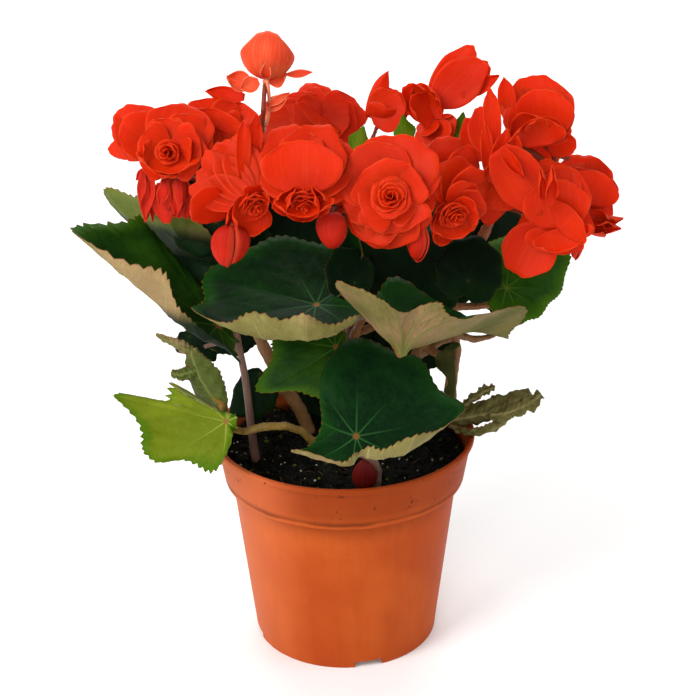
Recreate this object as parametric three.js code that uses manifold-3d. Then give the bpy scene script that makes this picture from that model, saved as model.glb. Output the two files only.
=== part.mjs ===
// A begonia in flower, growing in a thin plastic nursery pot.
// Millimetres, +Z up, origin at the middle of the pot's foot. The plant's show side faces -Y.
import * as THREE from 'three';
import { mergeVertices } from 'three/addons/utils/BufferGeometryUtils.js';
import Module from 'manifold-3d';

const wasm = await Module();
wasm.setup();

// ---------------------------------------------------------------- driving dimensions

const GAP = 0.35; // air left between pieces that rest on each other

const POT = {
  height: 102,
  rimRadius: 60, // outside of the lip
  lipHeight: 3.2,
  collarTopRadius: 58.6, // outside of the collar, just under the lip
  collarFootRadius: 55.4, // outside of the collar, at its lower edge
  collarFoot: 80, // height of the collar's lower edge
  bodyTopRadius: 52.1, // outside of the body, where the collar steps out
  footRadius: 42.6,
  wall: 1.3,
  floorLift: 3.6, // the floor stands this far above the foot, so that water can leave
  hubRadius: 14, // middle of the floor, which comes down to the foot's level
  segments: 44,
  holes: { count: 6, radius: 3.4, circle: 28, sides: 8 },
  notches: { count: 4, width: 13, height: 3.3, depth: 8, firstAzimuth: -76 },
};

const SOIL = { top: 93 };

const BLADE = {
  rays: 16,
  rings: [0.36, 0.66, 0.85, 1],
  thickness: 1.2,
  boss: 2.4, // the thickened seat of the petiole, under the blade
};

const COROLLA = { rays: 12, rim: 1.8 };

const COLORS = {
  terracotta: 0xd9693a,
  peat: 0x1c1713,
  stem: 0x9a6a48,
  leaf: 0x1d4a22,
  paleLeaf: 0x8fae2c,
  driedLeaf: 0x6b6a3a,
  petal: 0xe0341a,
};

// ---------------------------------------------------------------- small helpers

const DEG = Math.PI / 180;

const vec = ([x, y, z]) => new THREE.Vector3(x, y, z);

const plant = new THREE.Group();

function add(name, geometry, color, roughness = 0.6) {
  const material = new THREE.MeshStandardMaterial({ color, roughness, metalness: 0 });
  const mesh = new THREE.Mesh(geometry, material);
  mesh.name = name;
  plant.add(mesh);
  return mesh;
}

// A value that changes around a circle: knots are [degrees, value] in rising order.
function around(knots) {
  if (typeof knots === 'number') return () => knots;
  const wrapped = [
    [knots.at(-1)[0] - 360, knots.at(-1)[1]],
    ...knots,
    [knots[0][0] + 360, knots[0][1]],
  ];
  return (degrees) => {
    const next = Math.max(1, wrapped.findIndex(([angle]) => angle > degrees));
    const [a0, v0] = wrapped[next - 1];
    const [a1, v1] = wrapped[next];
    const t = (degrees - a0) / (a1 - a0);
    return v0 + (v1 - v0) * (0.5 - 0.5 * Math.cos(Math.PI * t));
  };
}

// A frame whose z is the given axis, and whose x is as near as it can be to the given direction.
function frameOf(axis, towards) {
  const z = vec(axis).normalize();
  const x = vec(towards);
  x.addScaledVector(z, -x.dot(z)).normalize();
  return { x, y: new THREE.Vector3().crossVectors(z, x), z };
}

// Shared points merged into one, and the faces that this leaves without an area dropped.
function clean(geometry) {
  geometry.deleteAttribute('normal');
  geometry.deleteAttribute('uv');
  const merged = mergeVertices(geometry, 1e-4);
  const kept = [];
  for (let i = 0; i < merged.index.count; i += 3) {
    const [a, b, c] = [0, 1, 2].map((k) => merged.index.getX(i + k));
    if (a !== b && b !== c && c !== a) kept.push(a, b, c);
  }
  merged.setIndex(kept);
  return merged;
}

// A disc turned on a lathe, with every point then moved: place(ray angle in degrees, profile row).
function turned(rays, rows, place) {
  const profile = rows.map((row) => new THREE.Vector2(row.radius, row.height));
  const geometry = new THREE.LatheGeometry(profile, rays);
  const position = geometry.attributes.position;
  for (let ray = 0; ray <= rays; ray += 1) {
    const angle = ((((ray % rays) * 360) / rays + 180) % 360) - 180;
    rows.forEach((row, index) => {
      const point = place(angle, row);
      position.setXYZ(ray * rows.length + index, point.x, point.y, point.z);
    });
  }
  return outward(clean(geometry));
}

function signedVolume(geometry) {
  const { index, attributes } = geometry;
  const corners = [new THREE.Vector3(), new THREE.Vector3(), new THREE.Vector3()];
  let volume = 0;
  for (let i = 0; i < index.count; i += 3) {
    corners.forEach((corner, k) => corner.fromBufferAttribute(attributes.position, index.getX(i + k)));
    volume += corners[0].dot(corners[1].clone().cross(corners[2])) / 6;
  }
  return volume;
}

function outward(geometry) {
  if (signedVolume(geometry) < 0) {
    const { index } = geometry;
    for (let i = 0; i < index.count; i += 3) {
      const second = index.getX(i + 1);
      index.setX(i + 1, index.getX(i + 2));
      index.setX(i + 2, second);
    }
  }
  return geometry;
}

function solidOf(geometry) {
  return new wasm.Manifold(
    new wasm.Mesh({
      numProp: 3,
      vertProperties: new Float32Array(geometry.attributes.position.array),
      triVerts: new Uint32Array(geometry.index.array),
    }),
  );
}

function geometryOf(solid) {
  const { vertProperties, triVerts } = solid.getMesh();
  const geometry = new THREE.BufferGeometry();
  geometry.setAttribute('position', new THREE.BufferAttribute(vertProperties, 3));
  geometry.setIndex(new THREE.BufferAttribute(triVerts, 1));
  return geometry;
}

// A round tube along a smooth curve, whose radius goes evenly from one end's to the other's.
function tube(points, [startRadius, endRadius], { sides, steps }) {
  const path = new THREE.CatmullRomCurve3(points.map(vec), false, 'centripetal');
  const section = new THREE.Shape(
    Array.from({ length: sides }, (_, i) => {
      const angle = (i / sides) * 2 * Math.PI;
      return new THREE.Vector2(Math.cos(angle), Math.sin(angle));
    }),
  );
  const geometry = clean(
    new THREE.ExtrudeGeometry(section, { steps, extrudePath: path, curveSegments: sides }),
  );
  const stations = path.getSpacedPoints(steps);
  const position = geometry.attributes.position;
  const point = new THREE.Vector3();
  for (let i = 0; i < position.count; i += 1) {
    point.fromBufferAttribute(position, i);
    const distances = stations.map((station) => station.distanceTo(point));
    const nearest = distances.indexOf(Math.min(...distances));
    const radius = startRadius + ((endRadius - startRadius) * nearest) / steps;
    point.sub(stations[nearest]).multiplyScalar(radius).add(stations[nearest]);
    position.setXYZ(i, point.x, point.y, point.z);
  }
  return outward(geometry);
}

// ---------------------------------------------------------------- pot and potting mix

// The body's outside leans out evenly from the foot to the collar.
const bodyRadius = (z) =>
  POT.footRadius + ((POT.bodyTopRadius - POT.footRadius) * z) / POT.collarFoot;

function pot() {
  const { height, wall, floorLift: lift, hubRadius: hub } = POT;
  const lipFoot = height - POT.lipHeight;
  const inner = (z) => bodyRadius(z) - wall;
  const profile = [
    [0, 0],
    [hub, 0],
    [hub + 2, lift],
    [inner(lift), lift],
    [inner(0), 0],
    [POT.footRadius, 0],
    [POT.bodyTopRadius, POT.collarFoot - 0.6],
    [POT.collarFootRadius - 0.5, POT.collarFoot - 0.3],
    [POT.collarFootRadius, POT.collarFoot + 0.5],
    [POT.collarTopRadius, lipFoot],
    [POT.rimRadius, lipFoot + 0.4],
    [POT.rimRadius, height - 0.5],
    [POT.rimRadius - 0.6, height],
    [POT.rimRadius - wall - 0.6, height],
    [POT.collarTopRadius - wall - 0.6, lipFoot - 1],
    [POT.collarFootRadius - wall, POT.collarFoot + 1.4],
    [inner(POT.collarFoot), POT.collarFoot - 1.4],
    [inner(lift + wall), lift + wall],
    [hub + 1, lift + wall],
    [hub - 1, wall],
    [0, wall],
  ].map(([radius, z]) => new THREE.Vector2(radius, z));
  const shell = new THREE.LatheGeometry(profile, POT.segments).rotateX(Math.PI / 2);
  let solid = solidOf(outward(clean(shell)));

  const { holes, notches } = POT;
  for (let i = 0; i < holes.count; i += 1) {
    const azimuth = ((i + 0.5) / holes.count) * 2 * Math.PI;
    const drill = new THREE.CylinderGeometry(holes.radius, holes.radius, 3 * lift, holes.sides);
    drill.rotateX(Math.PI / 2);
    drill.translate(holes.circle * Math.cos(azimuth), holes.circle * Math.sin(azimuth), lift);
    solid = solid.subtract(solidOf(clean(drill)));
  }
  for (let i = 0; i < notches.count; i += 1) {
    const azimuth = notches.firstAzimuth * DEG + (i / notches.count) * 2 * Math.PI;
    const cutter = new THREE.BoxGeometry(notches.depth, notches.width, 2 * notches.height);
    cutter.translate(POT.footRadius, 0, 0).rotateZ(azimuth);
    solid = solid.subtract(solidOf(clean(cutter)));
  }
  return geometryOf(solid);
}

// The mix fills the pot to a little under the collar's top, higher in the middle than at the wall.
function pottingMix() {
  const inside = (z) => bodyRadius(z) - POT.wall - GAP;
  const floor = POT.floorLift + POT.wall + GAP;
  const collarInside = POT.collarFootRadius - POT.wall - GAP;
  const profile = [
    [0, floor],
    [inside(floor), floor],
    [inside(POT.collarFoot - 2), POT.collarFoot - 2],
    [collarInside, POT.collarFoot + 1.8],
    [collarInside + 1.2, SOIL.top - 1.5],
    [30, SOIL.top],
    [0, SOIL.top + 1],
  ].map(([radius, z]) => new THREE.Vector2(radius, z));
  return outward(clean(new THREE.LatheGeometry(profile, POT.segments).rotateX(Math.PI / 2)));
}

// ---------------------------------------------------------------- leaves

// Length of a begonia blade's spokes, as a share of its size: an uneven heart, with its notch at 180.
const HEART = [
  [-165, 0.26], [-140, 0.4], [-110, 0.54], [-75, 0.66], [-45, 0.78], [0, 1],
  [40, 0.84], [75, 0.78], [110, 0.7], [140, 0.56], [160, 0.36], [180, 0.14],
];

// The smaller leaves have hardly any lobes behind the petiole.
const OVATE = [
  [-150, 0.2], [-90, 0.42], [-40, 0.66], [0, 1],
  [40, 0.66], [90, 0.42], [150, 0.2], [180, 0.12],
];

// A blade starts as a flat disc. Each spoke then bends in its own upright plane: it leaves the petiole's
// seat at the angle `slope`, bends by `arch` along its length, and from the share `curl` of its length
// onwards rolls up by `roll`.
function bladeGeometry(leaf) {
  const { at, tip, face, size, reach = HEART, slope = 0, arch = -20, roll = 0, curl = 0.55 } = leaf;
  const { x, y, z } = frameOf(face, tip);
  const reachAt = around(reach);
  const slopeAt = around(slope);
  const archAt = around(arch);
  const rollAt = around(roll);
  const half = BLADE.thickness / 2;

  const spokePoint = (angle, share, side) => {
    const steps = 24;
    const pitchAt = (s) => {
      const late = THREE.MathUtils.smoothstep(s, curl, 1.05);
      return (slopeAt(angle) + archAt(angle) * s + rollAt(angle) * late) * DEG;
    };
    let out = 0;
    let up = 0;
    for (let i = 0; i < steps; i += 1) {
      const pitch = pitchAt(((i + 0.5) / steps) * share);
      out += Math.cos(pitch) / steps;
      up += Math.sin(pitch) / steps;
    }
    const length = reachAt(angle) * size * share;
    const pitch = pitchAt(share);
    out = out * length - Math.sin(pitch) * half * side;
    up = up * length + Math.cos(pitch) * half * side;
    return vec(at)
      .addScaledVector(x, Math.cos(angle * DEG) * out)
      .addScaledVector(y, Math.sin(angle * DEG) * out)
      .addScaledVector(z, up);
  };

  const top = BLADE.rings.map((share) => ({ radius: share, height: 1, share, side: 1 }));
  const under = top.map(({ share }) => ({ radius: share, height: -1, share, side: -1 })).reverse();
  const rows = [
    { radius: 0, height: 1, share: 0, side: 1 },
    ...top,
    ...under,
    { radius: 0, height: -1, share: 0, side: -1, pole: true },
  ];
  return turned(BLADE.rays, rows, (angle, { share, side, pole }) => {
    if (share > 0) return spokePoint(angle, share, side);
    return vec(at).addScaledVector(z, pole ? -half - BLADE.boss : half);
  });
}

// Where a petiole meets the blade's seat, and the way it arrives.
function seatOf({ at, face }) {
  const z = vec(face).normalize();
  const end = vec(at).addScaledVector(z, -BLADE.thickness / 2 - BLADE.boss - GAP);
  return { end, heading: z };
}

const LEAVES = {
  left_wing: {
    at: [-55, -14, 160], tip: [-0.8, 0, 0.6], face: [0.55, -0.2, 0.81], size: 74,
    reach: [[-150, 0.14], [-90, 0.24], [-40, 0.46], [0, 1], [25, 0.66], [50, 0.5], [90, 0.34], [150, 0.16]],
    slope: 4, arch: -14, roll: [[-60, 0], [0, 15], [35, 95], [90, 100], [150, 20]], curl: 0.4,
  },
  left_back: {
    at: [-62, 24, 172], tip: [-0.78, 0.1, 0.62], face: [0.35, 0.6, 0.72], size: 58, reach: OVATE,
    slope: 0, arch: 10,
  },
  center: {
    at: [-11, -45, 182], tip: [-0.96, -0.2, 0.02], face: [-0.1, -0.25, 0.96], size: 49,
    reach: [[-140, 0.4], [-90, 0.76], [-45, 0.9], [0, 1], [45, 0.9], [90, 0.78], [140, 0.5], [180, 0.2]],
    slope: 6, arch: -8, roll: [[-30, 0], [10, 40], [40, 105], [90, 115], [125, 70], [150, 0]],
  },
  front_cup: {
    at: [24, -72, 173], tip: [0.95, 0.28, 0.03], face: [0, -0.1, 0.99], size: 54,
    reach: [
      [-160, 0.72], [-135, 0.66], [-90, 0.56], [-45, 0.7], [0, 1],
      [45, 0.8], [90, 0.66], [130, 0.45], [152, 0.2], [174, 0.66],
    ],
    slope: [[-150, 55], [-90, 72], [-45, 58], [0, 6], [45, 8], [90, 8], [150, 30], [180, 48]],
    arch: [[-90, 6], [0, 6], [90, 18]],
  },
  back_center: {
    at: [30, -16, 172], tip: [0.15, 0.35, 0.9], face: [0, -0.7, 0.71], size: 38,
    reach: [[-150, 0.2], [-90, 0.5], [0, 1], [90, 0.56], [150, 0.2], [180, 0.1]], slope: 4, arch: -16,
  },
  right: {
    at: [73, 2, 170], tip: [0.97, 0.05, -0.1], face: [0.2, -0.52, 0.83], size: 33,
    reach: [[-140, 0.4], [-90, 0.5], [-45, 0.76], [0, 0.92], [45, 1], [90, 0.95], [140, 0.7], [180, 0.3]],
    slope: 6, arch: -24,
  },
  front_low: {
    at: [5, -70, 133], tip: [0.97, 0.12, 0.16], face: [0.1, -0.72, 0.69], size: 49,
    reach: [
      [-150, 0.5], [-120, 0.4], [-90, 0.3], [-60, 0.4], [-25, 0.75], [0, 1],
      [30, 0.94], [60, 0.92], [90, 0.84], [120, 0.64], [150, 0.4], [180, 0.3],
    ],
    slope: 2, arch: -14, roll: [[-150, 90], [-90, 120], [-40, 110], [-5, 40], [30, 0], [150, 0], [180, 50]],
    curl: 0.3,
  },
  fold: {
    at: [4, -24, 192], tip: [-0.5, -0.2, 0.8], face: [-0.6, -0.6, 0.5], size: 18, reach: OVATE,
    slope: 16, arch: 10,
  },
  left_mid: {
    at: [-3, -34, 158], tip: [-0.85, -0.3, -0.42], face: [-0.2, -0.82, 0.54], size: 40,
    reach: [[-140, 0.2], [-90, 0.28], [-45, 0.6], [0, 1], [40, 0.7], [90, 0.5], [140, 0.4], [180, 0.16]],
    slope: 0, arch: -16,
  },
  left_low: {
    at: [-51, -42, 127], tip: [-0.93, -0.1, 0.35], face: [-0.2, -0.75, 0.63], size: 49,
    reach: [
      [-100, 0.1], [-60, 0.14], [-25, 0.4], [0, 1], [20, 0.86], [45, 0.74],
      [70, 0.6], [100, 0.46], [115, 0.3], [135, 0.12], [180, 0.1],
    ],
    slope: 2, arch: -16, color: COLORS.paleLeaf,
  },
  left_curl: {
    at: [-52, -31, 131], tip: [-0.4, 0.1, 0.9], face: [0.45, 0.85, 0.2], size: 30, reach: OVATE,
    slope: 0, arch: 20, color: COLORS.paleLeaf,
  },
  left_small: {
    at: [-69, -2, 150], tip: [0.1, -0.2, -0.97], face: [-0.35, -0.86, 0.3], size: 15, reach: OVATE,
    slope: 0, arch: -10,
  },
  low_small: {
    at: [-38, 1, 130], tip: [-0.75, -0.1, -0.62], face: [-0.1, -0.8, 0.6], size: 22, reach: OVATE,
    slope: 0, arch: -10,
  },
  dried: {
    at: [56, -3, 109], tip: [0.98, 0.1, 0.03], face: [0.1, -0.5, 0.86], size: 38,
    reach: [[-150, 0.2], [-90, 0.3], [-30, 0.7], [0, 1], [30, 0.66], [90, 0.3], [150, 0.2]],
    slope: [[-90, 20], [0, 0], [90, 30]], arch: 14, color: COLORS.driedLeaf,
  },
  right_small: {
    at: [47, -6, 142], tip: [0.45, 0, -0.88], face: [0.3, -0.8, 0.5], size: 17, reach: OVATE,
    slope: 0, arch: -10,
  },
  right_upper: {
    at: [40, 26, 188], tip: [0.5, 0.4, 0.7], face: [0, -0.6, 0.8], size: 34, reach: OVATE,
    slope: 2, arch: -14,
  },
  left_upper: {
    at: [-38, 24, 190], tip: [-0.6, 0.6, 0.4], face: [0, -0.5, 0.86], size: 34, reach: OVATE,
    slope: 2, arch: -14,
  },
  back_left: {
    at: [-30, 64, 164], tip: [-0.42, 0.9, 0], face: [-0.2, 0.35, 0.93], size: 53, slope: 6, arch: -34,
  },
  back_right: {
    at: [35, 60, 171], tip: [0.7, 0.7, 0.1], face: [0.15, 0.35, 0.93], size: 57, slope: 6, arch: -34,
  },
  back_low: {
    at: [2, 74, 140], tip: [-0.1, 0.9, -0.2], face: [0, 0.48, 0.88], size: 49, slope: 2, arch: -26,
  },
  back_side: {
    at: [76, 34, 148], tip: [0.85, 0.4, -0.2], face: [0.45, 0.25, 0.86], size: 44, slope: 4, arch: -26,
  },
};

// ---------------------------------------------------------------- flowers and buds

// A flower is one closed corolla. `at` is the front of its heart, and its foot lies `depth` behind that.
// Spokes run from the foot to the rim, `tilt` degrees from the axis: 0 is closed, 90 flat, above 90 bent
// back. Angles go round from the flower's upper side, anticlockwise as seen from the front.
const footOf = ({ at, axis, depth = 11 }) =>
  vec(at).addScaledVector(vec(axis).normalize(), -depth);

function corollaGeometry(flower) {
  const { at, axis, size, reach = 1, tilt = 80, up = [0, 0, 1] } = flower;
  const { x, y, z } = frameOf(axis, up);
  const foot = footOf(flower);
  const heart = vec(at);
  const reachAt = around(reach);
  const tiltAt = around(tilt);

  const spoke = (angle) =>
    new THREE.Vector3()
      .addScaledVector(x, Math.cos(angle * DEG))
      .addScaledVector(y, Math.sin(angle * DEG));

  const rows = [
    { radius: 0, height: 0 },
    { radius: 0.4, height: 0.2 },
    { radius: 0.78, height: 0.5 },
    { radius: 1, height: 1 },
    { radius: 0.74, height: 1.1, towardsHeart: 0.3 },
    { radius: 0.45, height: 1.2, towardsHeart: 0.72 },
    { radius: 0, height: 1.3, towardsHeart: 1 },
  ];
  return turned(COROLLA.rays, rows, (angle, { radius: share, towardsHeart }) => {
    if (share === 0) return towardsHeart ? heart.clone() : foot.clone();
    const belly = (80 - tiltAt(angle)) * 0.5;
    const lean = (tiltAt(angle) + (1 - share) * belly) * DEG;
    const point = foot
      .clone()
      .addScaledVector(spoke(angle), Math.sin(lean) * reachAt(angle) * size * share)
      .addScaledVector(z, Math.cos(lean) * reachAt(angle) * size * share);
    if (!towardsHeart) return point;
    return point
      .addScaledVector(spoke(angle), -Math.cos(lean) * COROLLA.rim)
      .addScaledVector(z, Math.sin(lean) * COROLLA.rim)
      .lerp(heart, towardsHeart);
  });
}

const FLOWERS = {
  rose_front: { at: [19, -62, 234], axis: [-0.12, -0.86, 0.48], size: 20.5 },
  rose_front_right: {
    at: [45, -52, 222], axis: [0.35, -0.85, -0.35], size: 20,
    reach: [[-90, 0.8], [0, 1.25], [90, 0.8], [180, 0.6]], tilt: [[-90, 92], [0, 112], [90, 92], [180, 60]],
  },
  rose_center_left: {
    at: [-18, -62, 235], axis: [0, -0.8, -0.6], size: 17,
    reach: [[-90, 0.9], [-40, 1.3], [40, 1.3], [90, 0.9], [180, 0.5]],
    tilt: [[-90, 95], [0, 126], [90, 95], [180, 70]],
  },
  rose_left_front: {
    at: [-37, -56, 231], axis: [0.25, -0.8, -0.5], size: 17.5,
    reach: [[-90, 0.5], [-30, 1], [0, 1.4], [35, 1.1], [80, 1.3], [110, 1.2], [180, 0.6]],
    tilt: [[-90, 70], [0, 118], [90, 100], [180, 62]],
  },
  rose_left: {
    at: [-71, -32, 244], axis: [-0.15, -0.93, 0.25], size: 16,
    reach: [[0, 1.15], [180, 0.8]], tilt: [[0, 96], [180, 74]],
  },
  rose_left_tip: { at: [-92, -12, 250], axis: [-0.5, -0.7, 0.5], size: 12, depth: 6 },
  rose_left_back: { at: [-51, -6, 250], axis: [0.2, -0.85, 0.45], size: 13.5, depth: 7 },
  cup_top_left: { at: [-31, 8, 272], axis: [0.1, 0.4, 0.92], size: 22, depth: 8, tilt: 24 },
  rose_top_back: { at: [-6, 26, 250], axis: [0.35, -0.3, 0.88], size: 17 },
  cup_center: { at: [-2, -42, 242], axis: [0.5, -0.85, 0.1], size: 15, tilt: 45 },
  rose_right_top: {
    at: [82, -22, 247], axis: [0.05, -0.85, -0.5], size: 16,
    reach: [[-90, 0.9], [0, 1.35], [90, 0.9], [180, 0.6]], tilt: [[-90, 85], [0, 112], [90, 85], [180, 62]],
  },
  rose_right_side: { at: [110, -8, 217], axis: [0.6, -0.75, 0.1], size: 16 },
  cup_right: { at: [69, -38, 230], axis: [0.2, -0.9, -0.1], size: 16, tilt: 55 },
  rose_right_low: {
    at: [90, -46, 217], axis: [0.1, -0.9, 0.2], size: 14,
    reach: [[-90, 1], [0, 1], [90, 1], [135, 1.8], [180, 1]], tilt: [[0, 80], [135, 104], [180, 80]],
  },
  cup_top_right: { at: [46, 10, 257], axis: [0.6, 0.1, 0.8], size: 25, depth: 8, tilt: 29 },
  cup_top_middle: { at: [37, 0, 252], axis: [-0.5, -0.4, 0.7], size: 15, depth: 7, tilt: 40 },
  cup_top_center: { at: [19, 24, 247], axis: [0.35, 0.2, 0.9], size: 20, depth: 7, tilt: 34 },
  rose_back_top: { at: [-10, 70, 226], axis: [-0.1, 0.75, 0.65], size: 19 },
  rose_back_far_left: { at: [-74, 36, 220], axis: [-0.7, 0.6, 0.4], size: 17 },
  rose_back_far_right: { at: [86, 34, 212], axis: [0.65, 0.65, 0.35], size: 17 },
  rose_back_left: { at: [-40, 60, 214], axis: [-0.35, 0.8, 0.45], size: 19 },
  rose_back_right: { at: [46, 68, 206], axis: [0.3, 0.85, 0.4], size: 20 },
};

// A bud is a pair of petals pressed face to face: a lens, rounded at the foot and blunter at the end.
const BUD_PROFILE = [[0, 0], [0.16, 0.62], [0.44, 1], [0.74, 0.86], [0.94, 0.42], [1, 0]];
const BUD_RAYS = 8;

function budGeometry({ foot, axis, length, width, thickness = width * 0.6, broad = [1, 0, 0] }) {
  const { x, y, z } = frameOf(axis, broad);
  const rows = BUD_PROFILE.map(([along, share]) => ({ radius: share, height: along }));
  return turned(BUD_RAYS, rows, (angle, { radius: share, height: along }) =>
    vec(foot)
      .addScaledVector(z, along * length)
      .addScaledVector(x, (Math.cos(angle * DEG) * share * width) / 2)
      .addScaledVector(y, (Math.sin(angle * DEG) * share * thickness) / 2),
  );
}

const BUDS = {
  bud_left_long: { foot: [-82, -23, 232], axis: [-0.05, -0.05, -1], length: 21, width: 8 },
  bud_left_pair: { foot: [-71, -25, 232], axis: [0.05, -0.1, -1], length: 17, width: 12 },
  bud_left_open: { foot: [-44, -59, 223], axis: [-0.12, -0.1, -1], length: 17, width: 16, thickness: 8 },
  bud_center: { foot: [-4, -55, 227], axis: [0, -0.1, -1], length: 15, width: 14, thickness: 8 },
  bud_front: { foot: [31, -56, 221], axis: [-0.05, -0.1, -1], length: 15, width: 11, thickness: 7 },
  bud_right_end: { foot: [102, -15, 204], axis: [-0.1, 0, -1], length: 14, width: 7 },
  bud_right_top: { foot: [57, -2, 251], axis: [0, -0.1, -1], length: 20, width: 8 },
};

// ---------------------------------------------------------------- stems, petioles and flower stalks

// A stem's foot stands on the mix; the mix is level enough there for one height to serve.
const ROOT_HEIGHT = SOIL.top + 1 + GAP;
const rooted = (x, y) => [x, y, ROOT_HEIGHT];

// The way from a point on a stem to a leaf's seat or a flower's foot: it arrives along `heading`.
// One that arrives at a slant stops short, so that its end's rim stays clear.
const SLANT_GAP = 2.2;

function twig(start, { end, heading }, options = {}) {
  const { approach = 0.3, via = [] } = options;
  const arrival = options.heading ? vec(options.heading).normalize() : heading;
  const stop = end.clone().addScaledVector(arrival, options.heading ? -SLANT_GAP : 0);
  const before = stop.clone().addScaledVector(arrival, -vec(start).distanceTo(end) * approach);
  return [start, ...via, before.toArray(), stop.toArray()];
}

const toLeaf = (start, name, options) => twig(start, seatOf(LEAVES[name]), options);

function toFlower(start, name, options) {
  const heading = vec(FLOWERS[name].axis).normalize();
  const end = footOf(FLOWERS[name]).addScaledVector(heading, -GAP);
  return twig(start, { end, heading }, options);
}

// A bud hangs from a limp pedicel, which comes straight across to it, or `over` a bend above it.
function toBud(start, name, { over } = {}) {
  const end = vec(BUDS[name].foot).addScaledVector(vec(BUDS[name].axis).normalize(), -2 * GAP);
  if (over) return twig(start, { end, heading: vec(BUDS[name].axis) }, { approach: 0.1, via: over });
  const heading = end.clone().sub(vec(start)).normalize();
  end.addScaledVector(heading, -GAP);
  return twig(start, { end, heading });
}

const RADIUS = {
  stem: [3.1, 2.4],
  petiole: [1.9, 1.5],
  stalk: [1.9, 1.6],
  pedicel: [1.1, 0.9],
};

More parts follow.
